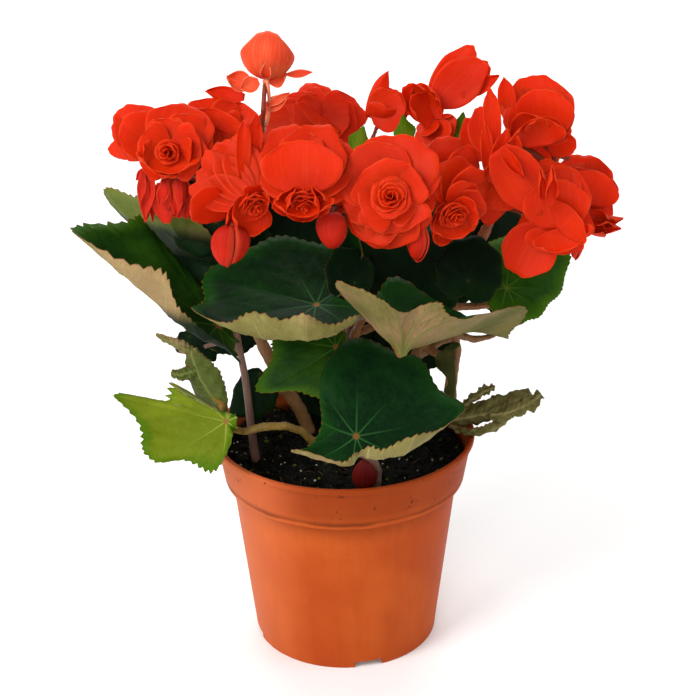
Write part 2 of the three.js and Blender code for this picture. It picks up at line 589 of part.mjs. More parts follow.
// Each list is one grown piece: its trunk first, then the petioles and flower stalks that branch off it.
const STEMS = {
  stem_left: [
    [
      [rooted(-16, 12), [-20, 11, 106], [-31, 8, 128], [-40, 8, 152], [-41, 6, 176], [-46, 3, 200]],
      RADIUS.stem,
    ],
    [[[-46, 3, 199], [-50, 4, 212], [-53, 4, 222]], RADIUS.stalk],
    [toLeaf([-40, 7, 160], 'left_back'), RADIUS.petiole],
    [toLeaf([-41, 6, 172], 'left_upper'), RADIUS.petiole],
    [toLeaf([-38, 8, 146], 'left_small', { via: [[-52, 6, 154]] }), RADIUS.petiole],
    [toLeaf([-24, 10, 114], 'low_small'), RADIUS.petiole],
    [toFlower([-53, 4, 221], 'rose_left'), RADIUS.pedicel],
    [toFlower([-53, 4, 221], 'rose_left_tip'), RADIUS.pedicel],
    [toFlower([-53, 4, 221], 'rose_left_back'), RADIUS.pedicel],
    [toFlower([-49, 4, 210], 'rose_left_front'), RADIUS.pedicel],
    [toFlower([-49, 4, 210], 'rose_back_far_left'), RADIUS.pedicel],
    [toFlower([-50, 4, 212], 'cup_top_left', { via: [[-36, 8, 236]] }), RADIUS.pedicel],
    [toBud([-53, 4, 221], 'bud_left_long'), RADIUS.pedicel],
    [toBud([-53, 4, 221], 'bud_left_pair'), RADIUS.pedicel],
    [toBud([-49, 4, 210], 'bud_left_open'), RADIUS.pedicel],
  ],
  stem_center: [
    [[rooted(2, 2), [3, 1, 130], [4, -2, 165], [3, -6, 196]], RADIUS.stem],
    [[[3, -6, 195], [3, -12, 208], [3, -18, 218]], RADIUS.stalk],
    [toLeaf([3, 0, 138], 'center', { via: [[-3, -14, 162]], heading: [-0.2, -0.8, 0.5] }), RADIUS.petiole],
    [
      toLeaf([4, -1, 146], 'front_cup', { via: [[9, -18, 165], [16, -44, 171]], heading: [0.2, -0.95, 0] }),
      RADIUS.petiole,
    ],
    [toLeaf([3, 0, 118], 'left_mid'), RADIUS.petiole],
    [toLeaf([4, -1, 150], 'back_center'), RADIUS.petiole],
    [toLeaf([4, -3, 172], 'fold'), RADIUS.pedicel],
    [toFlower([3, -18, 217], 'rose_front'), RADIUS.pedicel],
    [toFlower([3, -18, 217], 'rose_front_right'), RADIUS.pedicel],
    [toFlower([3, -18, 217], 'rose_center_left'), RADIUS.pedicel],
    [toFlower([3, -18, 217], 'cup_center'), RADIUS.pedicel],
    [toBud([3, -18, 217], 'bud_center'), RADIUS.pedicel],
    [toBud([3, -18, 217], 'bud_front'), RADIUS.pedicel],
  ],
  stem_right: [
    [[rooted(18, 10), [22, 10, 112], [36, 8, 140], [50, 3, 170], [63, -3, 200]], RADIUS.stem],
    [[[63, -3, 199], [66, -6, 210], [70, -10, 222]], RADIUS.stalk],
    [toLeaf([46, 5, 160], 'right'), RADIUS.petiole],
    [toLeaf([36, 8, 140], 'right_small'), RADIUS.petiole],
    [[[44, 6, 156], [52, 6, 143], [50, 2, 124], [50, -1, 112]], RADIUS.petiole],
    [toLeaf([46, 4, 162], 'right_upper'), RADIUS.petiole],
    [toLeaf([34, 9, 134], 'back_side', { via: [[52, 20, 140]] }), RADIUS.petiole],
    [toFlower([70, -10, 221], 'rose_right_top'), RADIUS.pedicel],
    [toFlower([70, -10, 221], 'rose_right_side'), RADIUS.pedicel],
    [toFlower([70, -10, 221], 'cup_right'), RADIUS.pedicel],
    [toFlower([66, -6, 212], 'rose_right_low'), RADIUS.pedicel],
    [toFlower([66, -6, 212], 'rose_back_far_right'), RADIUS.pedicel],
    [toFlower([70, -10, 221], 'cup_top_right'), RADIUS.pedicel],
    [toBud([66, -6, 212], 'bud_right_end'), RADIUS.pedicel],
    [toBud([70, -10, 221], 'bud_right_top', { over: [[64, -3, 240], [60, -1, 253]] }), RADIUS.pedicel],
  ],
  stem_back: [
    [[rooted(2, 26), [3, 30, 120], [4, 38, 160], [4, 42, 192]], RADIUS.stem],
    [[[4, 42, 191], [4, 42, 204], [6, 40, 216]], RADIUS.stalk],
    [toLeaf([4, 36, 148], 'back_left'), RADIUS.petiole],
    [toLeaf([4, 37, 154], 'back_right'), RADIUS.petiole],
    [toLeaf([3, 32, 124], 'back_low', { via: [[3, 50, 136]] }), RADIUS.petiole],
    [toFlower([6, 40, 215], 'rose_top_back'), RADIUS.pedicel],
    [toFlower([6, 40, 215], 'cup_top_center'), RADIUS.pedicel],
    [toFlower([6, 40, 215], 'cup_top_middle'), RADIUS.pedicel],
    [toFlower([4, 42, 205], 'rose_back_left'), RADIUS.pedicel],
    [toFlower([4, 42, 205], 'rose_back_right'), RADIUS.pedicel],
    [toFlower([5, 41, 211], 'rose_back_top'), RADIUS.pedicel],
  ],
  petiole_left: [[toLeaf(rooted(-40, -12), 'left_wing', { via: [[-42, -12, 112]] }), RADIUS.petiole]],
  petiole_front: [[toLeaf(rooted(14, -42), 'front_low', { via: [[14, -46, 108]] }), RADIUS.petiole]],
  petiole_low: [
    [toLeaf(rooted(-12, -14), 'left_low', { via: [[-16, -18, 108], [-30, -26, 117]] }), RADIUS.petiole],
  ],
};

function branching(parts) {
  const tubes = parts.map(([points, radii]) => {
    const sides = radii[0] > RADIUS.pedicel[0] ? 6 : 5;
    return solidOf(tube(points, radii, { sides, steps: 2 * points.length - 3 }));
  });
  return geometryOf(tubes.reduce((joined, next) => joined.add(next)));
}

// ---------------------------------------------------------------- the whole plant

add('pot', pot(), COLORS.terracotta, 0.42);
add('potting_mix', pottingMix(), COLORS.peat, 1);
Object.entries(STEMS).forEach(([name, parts]) => add(name, branching(parts), COLORS.stem, 0.5));
Object.entries(LEAVES).forEach(([name, leaf]) => {
  add(`leaf_${name}`, bladeGeometry(leaf), leaf.color ?? COLORS.leaf, 0.45);
});
Object.entries(FLOWERS).forEach(([name, flower]) => {
  add(name, corollaGeometry(flower), COLORS.petal, 0.55);
});
Object.entries(BUDS).forEach(([name, bud]) => add(name, budGeometry(bud), COLORS.petal, 0.5));

// One shed petal stands on the mix against the front petiole.
const SHED_PETAL = {
  foot: [7, -46, ROOT_HEIGHT + 1],
  axis: [0, -0.2, 1],
  length: 16,
  width: 14,
  thickness: 5,
};
add('shed_petal', budGeometry(SHED_PETAL), COLORS.petal, 0.55);

export default plant;
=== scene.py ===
"""A begonia in flower in a plastic nursery pot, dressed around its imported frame.

Metres, +Z up, the plant's show side facing -Y. Every blade, flower and bud takes its place, its bearing
and its size from its CAD shell, and grows its veins, teeth, petals and folds on it.
"""

import itertools
import math
import zlib

import bpy
import numpy as np
from mathutils import Matrix, Vector


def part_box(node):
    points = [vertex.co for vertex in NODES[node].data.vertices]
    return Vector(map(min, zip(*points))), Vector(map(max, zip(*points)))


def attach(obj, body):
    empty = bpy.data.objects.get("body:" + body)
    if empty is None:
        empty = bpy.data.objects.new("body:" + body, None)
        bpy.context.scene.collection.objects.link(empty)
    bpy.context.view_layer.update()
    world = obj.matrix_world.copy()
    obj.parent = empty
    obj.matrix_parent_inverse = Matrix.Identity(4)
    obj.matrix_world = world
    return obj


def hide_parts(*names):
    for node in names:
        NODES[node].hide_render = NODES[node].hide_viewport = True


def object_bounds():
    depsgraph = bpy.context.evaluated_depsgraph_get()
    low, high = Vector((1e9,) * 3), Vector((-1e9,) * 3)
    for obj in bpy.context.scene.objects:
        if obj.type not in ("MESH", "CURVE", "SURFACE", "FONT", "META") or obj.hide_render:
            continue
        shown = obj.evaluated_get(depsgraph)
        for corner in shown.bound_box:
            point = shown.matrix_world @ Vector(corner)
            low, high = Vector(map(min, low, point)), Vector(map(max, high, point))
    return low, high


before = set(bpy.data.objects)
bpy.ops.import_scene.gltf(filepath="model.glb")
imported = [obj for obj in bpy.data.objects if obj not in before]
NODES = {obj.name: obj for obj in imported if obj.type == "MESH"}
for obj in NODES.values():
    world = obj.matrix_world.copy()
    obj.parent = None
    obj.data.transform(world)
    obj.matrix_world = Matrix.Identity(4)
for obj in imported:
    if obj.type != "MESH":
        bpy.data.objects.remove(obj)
CAD_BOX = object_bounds()

MM = 0.001
TAU = 2 * math.pi
SNAP = 0.001 * MM  # points of a CAD mesh that are closer than this are one point
UP = np.array([0.0, 0.0, 1.0])
RIGHT = np.array([1.0, 0.0, 0.0])

# ------------------------------------------------------------------ numbers and curves


def unit(v):
    """The direction of a vector, or of each row of vectors."""
    v = np.asarray(v, float)
    return v / np.maximum(np.linalg.norm(v, axis=-1, keepdims=True), 1e-12)


def smoothstep(low, high, x):
    t = np.clip((x - low) / (high - low), 0, 1)
    return t * t * (3 - 2 * t)


def seeded(name):
    """Random numbers that are the same on every run for the same name."""
    return np.random.default_rng(zlib.crc32(name.encode()))


def spline(knots, values, at):
    """A natural cubic spline through the values at the knots. It goes on straight outside them."""
    knots = np.asarray(knots, float)
    values = np.asarray(values, float)
    shape = values.shape[1:]
    values = values.reshape(len(knots), -1)
    at = np.asarray(at, float)
    where = at.ravel()
    gap = np.diff(knots)
    matrix = np.eye(len(knots))
    pull = np.zeros_like(values)
    for i in range(1, len(knots) - 1):
        matrix[i, i - 1 : i + 2] = gap[i - 1], 2 * (gap[i - 1] + gap[i]), gap[i]
        steeper = (values[i + 1] - values[i]) / gap[i] - (values[i] - values[i - 1]) / gap[i - 1]
        pull[i] = 6 * steeper
    bend = np.linalg.solve(matrix, pull)
    i = np.clip(np.searchsorted(knots, where) - 1, 0, len(knots) - 2)
    inside = np.clip(where, knots[0], knots[-1])
    h = gap[i][:, None]
    a = (knots[i + 1] - inside)[:, None]
    b = (inside - knots[i])[:, None]
    read = (bend[i] * a**3 + bend[i + 1] * b**3) / (6 * h)
    read += (values[i] / h - bend[i] * h / 6) * a + (values[i + 1] / h - bend[i + 1] * h / 6) * b
    slope = (bend[i + 1] * b**2 - bend[i] * a**2) / (2 * h)
    slope += (values[i + 1] - values[i]) / h - (bend[i + 1] - bend[i]) * h / 6
    read += slope * (where - inside)[:, None]
    return read.reshape(at.shape + shape)


def around(values, angles):
    """A smooth closed curve through values that stand evenly round a turn, read at angles in radians."""
    count = len(values)
    knots = np.arange(-count, 2 * count) * TAU / count
    return spline(knots, np.concatenate([values] * 3), np.mod(angles, TAU))


def wander(rng, count, start=1):
    """A smooth random function round a turn: a few sines, each weaker than the one before."""
    waves = np.arange(start, start + count)
    phase = rng.uniform(0, TAU, count)
    weight = rng.uniform(0.6, 1, count) / np.arange(1, count + 1) ** 0.6
    weight /= weight.sum()
    return lambda angle: (np.sin(angle[..., None] * waves + phase) * weight).sum(-1)


# ------------------------------------------------------------------ reading the CAD shells


def shell(node):
    """A CAD node's points, without the copies that flat shading makes, and each point's neighbours."""
    mesh = NODES[node].data
    co = np.zeros(len(mesh.vertices) * 3)
    mesh.vertices.foreach_get("co", co)
    keys, index = np.unique(np.round(co.reshape(-1, 3) / SNAP), axis=0, return_inverse=True)
    index = index.ravel()
    near = [set() for _ in keys]
    mesh.calc_loop_triangles()
    for triangle in mesh.loop_triangles:
        corners = {int(index[i]) for i in triangle.vertices}
        for corner in corners:
            near[corner] |= corners - {corner}
    return keys * SNAP, near


def highest(poles, points):
    return max(poles, key=lambda i: points[i][2])


def lowest(poles, points):
    return min(poles, key=lambda i: points[i][2])


def turned_rows(node, rays, first):
    """The rows of a shell that was turned on a lathe: [pole, rings..., pole].

    first chooses the pole that the rows start from, given both.
    """
    points, near = shell(node)
    poles = [i for i, others in enumerate(near) if len(others) == rays]
    start = first(poles, points)
    seen = {start}
    row = {start}
    rows = []
    while row:
        rows.append(points[sorted(row)])
        row = set().union(*(near[i] for i in row)) - seen
        seen |= row
    return rows


def bearings(points, origin, x, y):
    """How far round each point stands from x towards y, seen from the origin."""
    away = points - origin
    return np.arctan2(away @ y, away @ x)


def in_order(points, origin, x, y):
    """The points of a ring, in order round the axis, starting with the one nearest to x."""
    turns = np.round(bearings(points, origin, x, y) * len(points) / TAU).astype(int) % len(points)
    return points[np.argsort(turns)]


# ------------------------------------------------------------------ meshes


def grid_quads(index, closed=False):
    """Quads over a grid of point numbers; closed joins the last row to the first."""
    here = index if closed else index[:-1]
    there = np.roll(index, -1, axis=0) if closed else index[1:]
    return np.stack([here[:, :-1], there[:, :-1], there[:, 1:], here[:, 1:]], -1).reshape(-1, 4)


def fan(pole, ring):
    """Triangles from one point to a closed ring of points."""
    return np.stack([np.full(len(ring), pole), ring, np.roll(ring, -1)], -1)


def capped(rows, columns):
    """Faces over a closed grid of points whose two ends are drawn in to the points 0 and 1 before it."""
    index = np.arange(rows * columns).reshape(rows, columns) + 2
    return [*grid_quads(index, closed=True), *fan(0, index[::-1, 0]), *fan(1, index[:, -1])]


def sheet_grid(across, along):
    """A sheet's own places: u from -1 to 1 across it, v from 0 to 1 along it."""
    return np.linspace(-1, 1, across)[:, None], np.linspace(0, 1, along)[None, :]


def normals_of(grid, closed=False):
    """The direction that each point of a grid faces."""
    if closed:
        across = np.roll(grid, -1, axis=0) - np.roll(grid, 1, axis=0)
    else:
        across = np.gradient(grid, axis=0)
    return unit(np.cross(across, np.gradient(grid, axis=1)))


class Parts:
    """Points, faces and per-point values, gathered bit by bit into one mesh."""

    def __init__(self):
        self.points = []
        self.faces = []
        self.slots = []
        self.values = []
        self.count = 0

    def add(self, points, faces, slot=0, **values):
        """Adds points and the faces over them; slot is one material number or one for each face."""
        points = np.asarray(points, float).reshape(-1, 3)
        self.points.append(points)
        self.faces += [tuple(int(i) + self.count for i in face) for face in faces]
        self.slots.append(np.broadcast_to(slot, len(faces)))
        self.values.append(values)
        self.count += len(points)

    def build(self, name, materials, replaces=()):
        """The piece, in the scene: it rides on the plant's one body and stands for its CAD nodes."""
        mesh = bpy.data.meshes.new(name)
        mesh.from_pydata(np.concatenate(self.points).tolist(), [], self.faces)
        mesh.polygons.foreach_set("use_smooth", [True] * len(mesh.polygons))
        mesh.polygons.foreach_set("material_index", np.concatenate(self.slots).astype(np.int32))
        for key in sorted(set().union(*self.values)):
            column = [np.broadcast_to(v.get(key, 0.0), len(p)) for p, v in zip(self.points, self.values)]
            attribute = mesh.attributes.new(key, "FLOAT", "POINT")
            attribute.data.foreach_set("value", np.concatenate(column).astype(np.float32))
        for material in materials:
            mesh.materials.append(material)
        mesh.update()
        piece = in_scene(name, mesh)
        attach(piece, "root")
        if replaces:
            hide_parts(*replaces)
        return piece


def in_scene(name, data):
    """A new object in the scene."""
    made = bpy.data.objects.new(name, data)
    bpy.context.scene.collection.objects.link(made)
    return made


def add_sheet(parts, middle, half, **values):
    """A thin closed sheet around a grid of points: half is half its thickness, at each point."""
    shape = middle.shape[:2]
    front = np.arange(shape[0] * shape[1]).reshape(shape)
    back = front + front.size
    rim = [(front[:, 0], back[:, 0]), (back[:, -1], front[:, -1])]
    rim += [(back[0], front[0]), (front[-1], back[-1])]
    edges = [np.stack([a[:-1], b[:-1], b[1:], a[1:]], -1) for a, b in rim]
    faces = np.concatenate([grid_quads(front), grid_quads(back)[:, ::-1], *edges])
    offset = normals_of(middle) * np.broadcast_to(half, shape)[..., None]
    points = np.concatenate([(middle + offset).reshape(-1, 3), (middle - offset).reshape(-1, 3)])
    doubled = {key: np.tile(np.broadcast_to(value, shape).ravel(), 2) for key, value in values.items()}
    parts.add(points, faces, **doubled)


def add_tube(parts, path, radii, slot=0, sides=10, steps=10, **values):
    """A closed tube through a few points, radii in mm."""
    path = np.array(path, float)
    knots = np.linspace(0, 1, len(path))
    at = np.linspace(0, 1, steps * (len(path) - 1) + 1)
    line = spline(knots, path, at)
    wide = np.interp(at, knots, radii) * MM
    along = unit(np.gradient(line, axis=0))
    side = unit(np.cross(along, unit(np.array([0.31, 0.2, 0.93]))))
    up = np.cross(along, side)
    angles = (np.arange(sides) * TAU / sides)[:, None, None]
    points = line + (np.cos(angles) * side + np.sin(angles) * up) * wide[:, None]
    everything = np.concatenate([line[[0, -1]], points.reshape(-1, 3)])
    parts.add(everything, capped(sides, len(at)), slot, **values)


# ------------------------------------------------------------------ materials


def rgb(red, green, blue):
    """A colour given as it looks on a screen, 0 to 255, as the linear colour that shaders take."""
    share = np.array([red, green, blue]) / 255
    linear = np.where(share <= 0.04045, share / 12.92, ((share + 0.055) / 1.055) ** 2.4)
    return (*linear.tolist(), 1.0)


class Look:
    """One procedural material: short calls that add nodes and hand back their output sockets.

    A colour is (red, green, blue) as it looks on a screen, 0 to 255. self.color is the colour so far.
    """

    def __init__(self, name, shine, glow=0.0, radius=(1, 1, 1), scale=1.0):
        self.material = bpy.data.materials.new(name)
        self.material.use_nodes = True
        self.tree = self.material.node_tree
        self.shader = self.tree.nodes["Principled BSDF"]
        self.shader.inputs["Specular IOR Level"].default_value = shine
        if glow:
            self.shader.inputs["Subsurface Weight"].default_value = glow
            self.shader.inputs["Subsurface Radius"].default_value = radius
            self.shader.inputs["Subsurface Scale"].default_value = scale * MM
        self.place = self.node("TexCoord").outputs["Object"]

    def put(self, socket, value):
        if isinstance(value, bpy.types.NodeSocket):
            self.tree.links.new(value, socket)
        elif socket.type == "RGBA":
            socket.default_value = rgb(*value)
        else:
            socket.default_value = value

    def node(self, kind, inputs=(), **settings):
        made = self.tree.nodes.new("ShaderNode" + kind)
        for key, value in settings.items():
            setattr(made, key, value)
        for key, value in dict(inputs).items():
            self.put(made.inputs[key], value)
        return made

    def attribute(self, name):
        return self.node("Attribute", attribute_name=name).outputs["Fac"]

    def axis(self, name):
        """One coordinate of the place in the object."""
        return self.node("SeparateXYZ", {"Vector": self.place}).outputs[name]

    def stretched(self, *scale):
        """The place in the object, stretched by three factors."""
        return self.node("Mapping", {"Vector": self.place, "Scale": scale}).outputs["Vector"]

    def noise(self, per_metre, detail, roughness=0.55, vector=None):
        inputs = {"Scale": per_metre, "Detail": detail, "Roughness": roughness}
        return self.node("TexNoise", {"Vector": vector or self.place, **inputs}).outputs["Fac"]

    def cells(self, per_metre):
        """How far a place lies from the nearest edge between the cells of a fine net."""
        inputs = {"Vector": self.place, "Scale": per_metre}
        return self.node("TexVoronoi", inputs, feature="DISTANCE_TO_EDGE").outputs["Distance"]

    def calc(self, operation, a, b):
        return self.node("Math", {0: a, 1: b}, operation=operation).outputs[0]

    def add(self, a, b):
        return self.calc("ADD", a, b)

    def times(self, a, b):
        return self.calc("MULTIPLY", a, b)

    def most(self, a, b):
        return self.calc("MAXIMUM", a, b)

    def fade(self, value, low, high, at_low=0.0, at_high=1.0):
        """A value taken smoothly from at_low, at low, to at_high, at high."""
        inputs = {"Value": value, "From Min": low, "From Max": high, "To Min": at_low, "To Max": at_high}
        return self.node("MapRange", inputs, interpolation_type="SMOOTHSTEP").outputs["Result"]

    def mix(self, share, a, b):
        """From colour a to colour b."""
        return self.node("Mix", {"Factor": share, 6: a, 7: b}, data_type="RGBA").outputs[2]

    def lay(self, color, share):
        """Lays a share of a colour over the colour so far."""
        self.color = self.mix(share, self.color, color)

    def lay_faded(self, color, value, *ends):
        """Lays a colour on, by a value that is faded between ends."""
        self.lay(color, self.fade(value, *ends))

    def finish(self, roughness, height=None, depth=0.0):
        """Sets the shader's colour, its roughness and, where a height is given, its fine relief in mm."""
        self.put(self.shader.inputs["Base Color"], self.color)
        self.put(self.shader.inputs["Roughness"], roughness)
        if height is not None:
            bump = self.node("Bump", {"Height": height, "Distance": depth * MM, "Strength": 1.0})
            self.put(self.shader.inputs["Normal"], bump.outputs["Normal"])
        return self.material


NET = 380  # cells of the leaf's fine net of veins, per metre


def leaf_top(name, deep, fresh, vein, gloss=0.42, margin=None, rust=0.6):
    """A blade's upper face: satin and finely netted, fresher in patches, with paler veins.

    Where margin is given, the blade turns to that colour along its edge.
    """
    look = Look(name, 0.035, 0.04, (0.3, 1.0, 0.1))
    patches = look.noise(38, 3, 0.6)
    mottle = look.noise(320, 4, 0.6)
    edge = look.attribute("edge")
    out = look.attribute("out")
    look.color = deep
    look.lay_faded(fresh, patches, 0.42, 0.7)
    look.lay_faded(fresh, mottle, 0.35, 0.8, 0.0, 0.3)
    if margin is not None:
        look.lay_faded(margin, look.add(edge, look.times(patches, 14.0)), 5.0, 15.0, 1.0, 0.0)
    main = look.fade(look.attribute("vein"), 0.15, 0.62, 1.0, 0.0)
    side = look.fade(look.attribute("branch"), 0.02, 0.08, 1.0, 0.0)
    net = look.fade(look.cells(NET), 0.0, 0.1, 1.0, 0.0)
    lines = look.most(look.times(main, 0.75), look.times(side, 0.3))
    lines = look.times(lines, look.fade(out, 0.05, 0.5, 0.85, 0.14))
    look.lay(vein, look.most(lines, look.times(net, 0.06)))
    look.lay_faded((128, 78, 42), out, 0.015, 0.04, min(0.8, 1.3 * rust), 0.0)
    rim = look.times(look.fade(edge, 0.2, 0.9, 1.0, 0.0), look.attribute("tooth"))
    look.lay((120, 46, 26), look.times(rim, rust))
    dimples = look.fade(look.cells(NET), 0.0, 0.3)
    height = look.add(look.times(dimples, 0.3), look.times(mottle, 0.3))
    height = look.calc("SUBTRACT", height, look.times(side, 0.4))
    return look.finish(look.fade(mottle, 0.2, 0.8, gloss - 0.06, gloss + 0.1), height, 0.12)


def leaf_under(name, ground, shade, vein, low=None):
    """A blade's lower face: dull and pale, with its veins standing out as ridges.

    Where low is given, as a colour and two heights, painted shade turns the blade to that colour below them.
    """
    look = Look(name, 0.12, 0.06, (0.8, 1.0, 0.3))
    patches = look.noise(45, 4, 0.6)
    grain = look.noise(900, 3, 0.7)
    look.color = ground
    look.lay_faded(shade, patches, 0.38, 0.68)
    look.lay_faded(shade, grain, 0.45, 0.75, 0.0, 0.3)
    look.lay_faded((176, 132, 104), look.noise(17, 2), 0.52, 0.66, 0.0, 0.4)
    main = look.fade(look.attribute("vein"), 0.3, 1.0, 1.0, 0.0)
    side = look.fade(look.attribute("branch"), 0.03, 0.1, 1.0, 0.0)
    net = look.fade(look.cells(NET), 0.0, 0.1, 1.0, 0.0)
    look.lay(shade, look.times(net, 0.22))
    look.lay(vein, look.most(look.times(main, 0.75), look.times(side, 0.5)))
    look.lay_faded((136, 74, 48), look.attribute("edge"), 0.1, 0.6, 0.6, 0.0)
    if low is not None:
        # Painted shade: the blade is darkened below a height, where the leaves above shade it.
        shadow_color, bottom, top = low
        level = look.add(look.axis("Z"), look.times(patches, 0.008))
        look.lay_faded(shadow_color, level, bottom, top, 1.0, 0.0)
    height = look.most(look.times(side, 0.9), look.times(net, 0.3))
    height = look.add(look.most(height, main), look.times(grain, 0.2))
    return look.finish(0.62, height, 0.28)


def petal_skin(name, face, rim, deep, glow=0.3):
    """A petal: satin, faintly ribbed from claw to lip, deeper in the heart, and paler along its rim, partly a
    painted highlight.
    """
    look = Look(name, 0.08, glow, (1.0, 0.16, 0.05), 3.0)
    clouds = look.noise(90, 3, 0.5)
    claw = look.attribute("claw")
    # Noise read at a place measured across and along the petal runs from claw to lip.
    ribbed = look.node("CombineXYZ", {"X": look.times(look.attribute("fan"), 16.0), "Y": claw})
    strands = look.noise(1, 3, 0.6, ribbed.outputs["Vector"])
    look.color = face
    look.lay_faded(deep, clouds, 0.35, 0.7, 0.0, 0.5)
    look.lay_faded(rim, strands, 0.45, 0.8, 0.0, 0.22)
    look.lay_faded(deep, claw, 0.0, 0.4, 0.4, 0.0)
    # The paler rim: partly the petal's own paler margin, partly a painted highlight along its edge.
    look.lay_faded(rim, look.attribute("edge"), 0.0, 0.7, 0.35, 0.0)
    height = look.add(strands, look.times(look.noise(1600, 2), 0.25))
    return look.finish(look.fade(clouds, 0.3, 0.7, 0.45, 0.6), height, 0.1)


def stem_skin(name, low, high, blush):
    """A juicy stem: brown and corky at its foot, greener or redder higher up, with long faint ribs."""
    look = Look(name, 0.2, 0.12, (1.0, 0.5, 0.25))
    height = look.axis("Z")
    streaks = look.noise(1, 4, 0.6, look.stretched(900, 900, 90))
    specks = look.noise(1500, 2, 0.6)
    look.color = low
    look.lay_faded(high, height, 0.1, 0.19)
    look.lay_faded(blush, height, 0.188, 0.212)
    look.lay_faded(look.mix(0.55, look.color, (52, 30, 14)), streaks, 0.4, 0.7, 0.0, 0.6)
    look.lay_faded((150, 116, 70), specks, 0.62, 0.74, 0.0, 0.4)
    relief = look.add(streaks, look.times(specks, 0.4))
    return look.finish(look.fade(streaks, 0.3, 0.7, 0.36, 0.55), relief, 0.25)


def pot_plastic():
    """Thin moulded plastic: faintly mottled and splashed with peat near the brim, with painted light and
    shade.
    """
    look = Look("pot_plastic", 0.03, 0.1, (1.0, 0.35, 0.15), 1.6)
    clouds = look.noise(26, 4, 0.55)
    drawn = look.noise(1, 3, 0.6, look.stretched(160, 160, 9))
    level = look.add(look.axis("Z"), look.times(look.noise(40, 2, 0.5), 0.004))
    across = look.axis("X")
    look.color = (168, 69, 25)
    look.lay_faded((182, 83, 33), clouds, 0.35, 0.7)
    look.lay_faded((152, 58, 18), drawn, 0.4, 0.75, 0.0, 0.3)
    # Painted shade under the collar and on the collar, and painted light on the side the key lamp faces.
    under = look.times(look.fade(level, 0.07, 0.0805), look.fade(level, 0.0815, 0.083, 1.0, 0.0))
    look.lay((104, 36, 12), look.times(under, 0.35))
    # Painted shade on the collar, darker above its foot and weaker on the left, where the key lamp falls.
    collar_shade = look.fade(level, 0.082, 0.09, 0.0, 0.65)
    look.lay((128, 50, 18), look.times(collar_shade, look.fade(across, -0.045, -0.015, 0.15, 1.0)))
    # Painted light: the left side, which faces the key lamp, is painted lighter.
    look.lay_faded((222, 124, 78), across, -0.05, -0.012, 0.42, 0.0)
    # Splashes of peat, and painted shade on the inside of the rim.
    splash = look.times(look.noise(760, 2, 0.5), look.noise(110, 2, 0.5))
    splash = look.times(look.fade(splash, 0.4, 0.42), look.fade(level, 0.083, 0.095, 0.06, 0.9))
    look.lay((52, 26, 12), splash)
    flat = look.node("VectorMath", {0: look.place, 1: (1, 1, 0)}, operation="MULTIPLY").outputs["Vector"]
    spread = look.node("VectorMath", {0: flat}, operation="LENGTH").outputs["Value"]
    # Painted shade: the inside of the rim above the mix is painted dark.
    rim_inside_shade = look.times(look.fade(level, 0.083, 0.085), look.fade(level, 0.0995, 0.1015, 1.0, 0.0))
    rim_inside_shade = look.times(rim_inside_shade, look.fade(spread, 0.0555, 0.0562, 1.0, 0.0))
    look.lay((40, 20, 10), look.times(rim_inside_shade, 0.85))
    relief = look.add(look.times(look.noise(700, 3, 0.6), 0.35), look.times(drawn, 0.5))
    return look.finish(look.fade(clouds, 0.3, 0.7, 0.42, 0.54), relief, 0.08)


def peat(name, dark, crumb):
    """Peat, moss or grit: lumpy and rough, with brown fibres drawn through it."""
    look = Look(name, 0.1)
    lumpy = look.noise(420, 5, 0.7)
    fibres = look.noise(1, 4, 0.7, look.stretched(1500, 260, 700))
    look.color = dark
    look.lay_faded(crumb, lumpy, 0.4, 0.72)
    look.lay_faded((92, 70, 42), fibres, 0.62, 0.74, 0.0, 0.5)
    return look.finish(look.fade(lumpy, 0.3, 0.7, 0.9, 0.55), look.add(lumpy, fibres), 0.9)


# ------------------------------------------------------------------ leaves

BLADE_RAYS = 16
BLADE_SHARES = [0, 0.36, 0.66, 0.85, 1]
SEAT_RADIUS = 1.5 * MM  # where the petiole meets the blade
SEAT_FLARE = 3.4 * MM
SEAT_SINK = 0.35 * MM
HALF_BLADE = 0.22 * MM  # half a blade's thickness
PUCKER = 0.014  # how far a blade swells between its veins, as a share of its size
VEIN_RIDGE, VEIN_WIDTH = 0.5 * MM, 0.8 * MM
BRANCH_RIDGE, BRANCH_WIDTH = 0.16 * MM, 0.6 * MM
VEIN_SPREAD = 152  # degrees from the tip to the last main vein on each side
# How far each row of a lattice goes with a ray that is pulled, and with a margin that is lifted.
ROW_SHARE = np.array([0, 0.12, 0.42, 0.7, 1])
MARGIN_SHARE = np.array([0, 0, 0, 0.12, 1])
# A spare blade's outline: how far each ray reaches, as a share of the blade's size.
SPARE_REACH = np.array(
    [1, 0.95, 0.88, 0.8, 0.72, 0.66, 0.6, 0.5, 0.34, 0.44, 0.56, 0.62, 0.68, 0.76, 0.86, 0.94]
)
SPARE_DROOP = 0.12


def turned_axes(x, y, angle):
    """Two axes, turned from x towards y."""
    c, s = math.cos(angle), math.sin(angle)
    return c * x + s * y, c * y - s * x


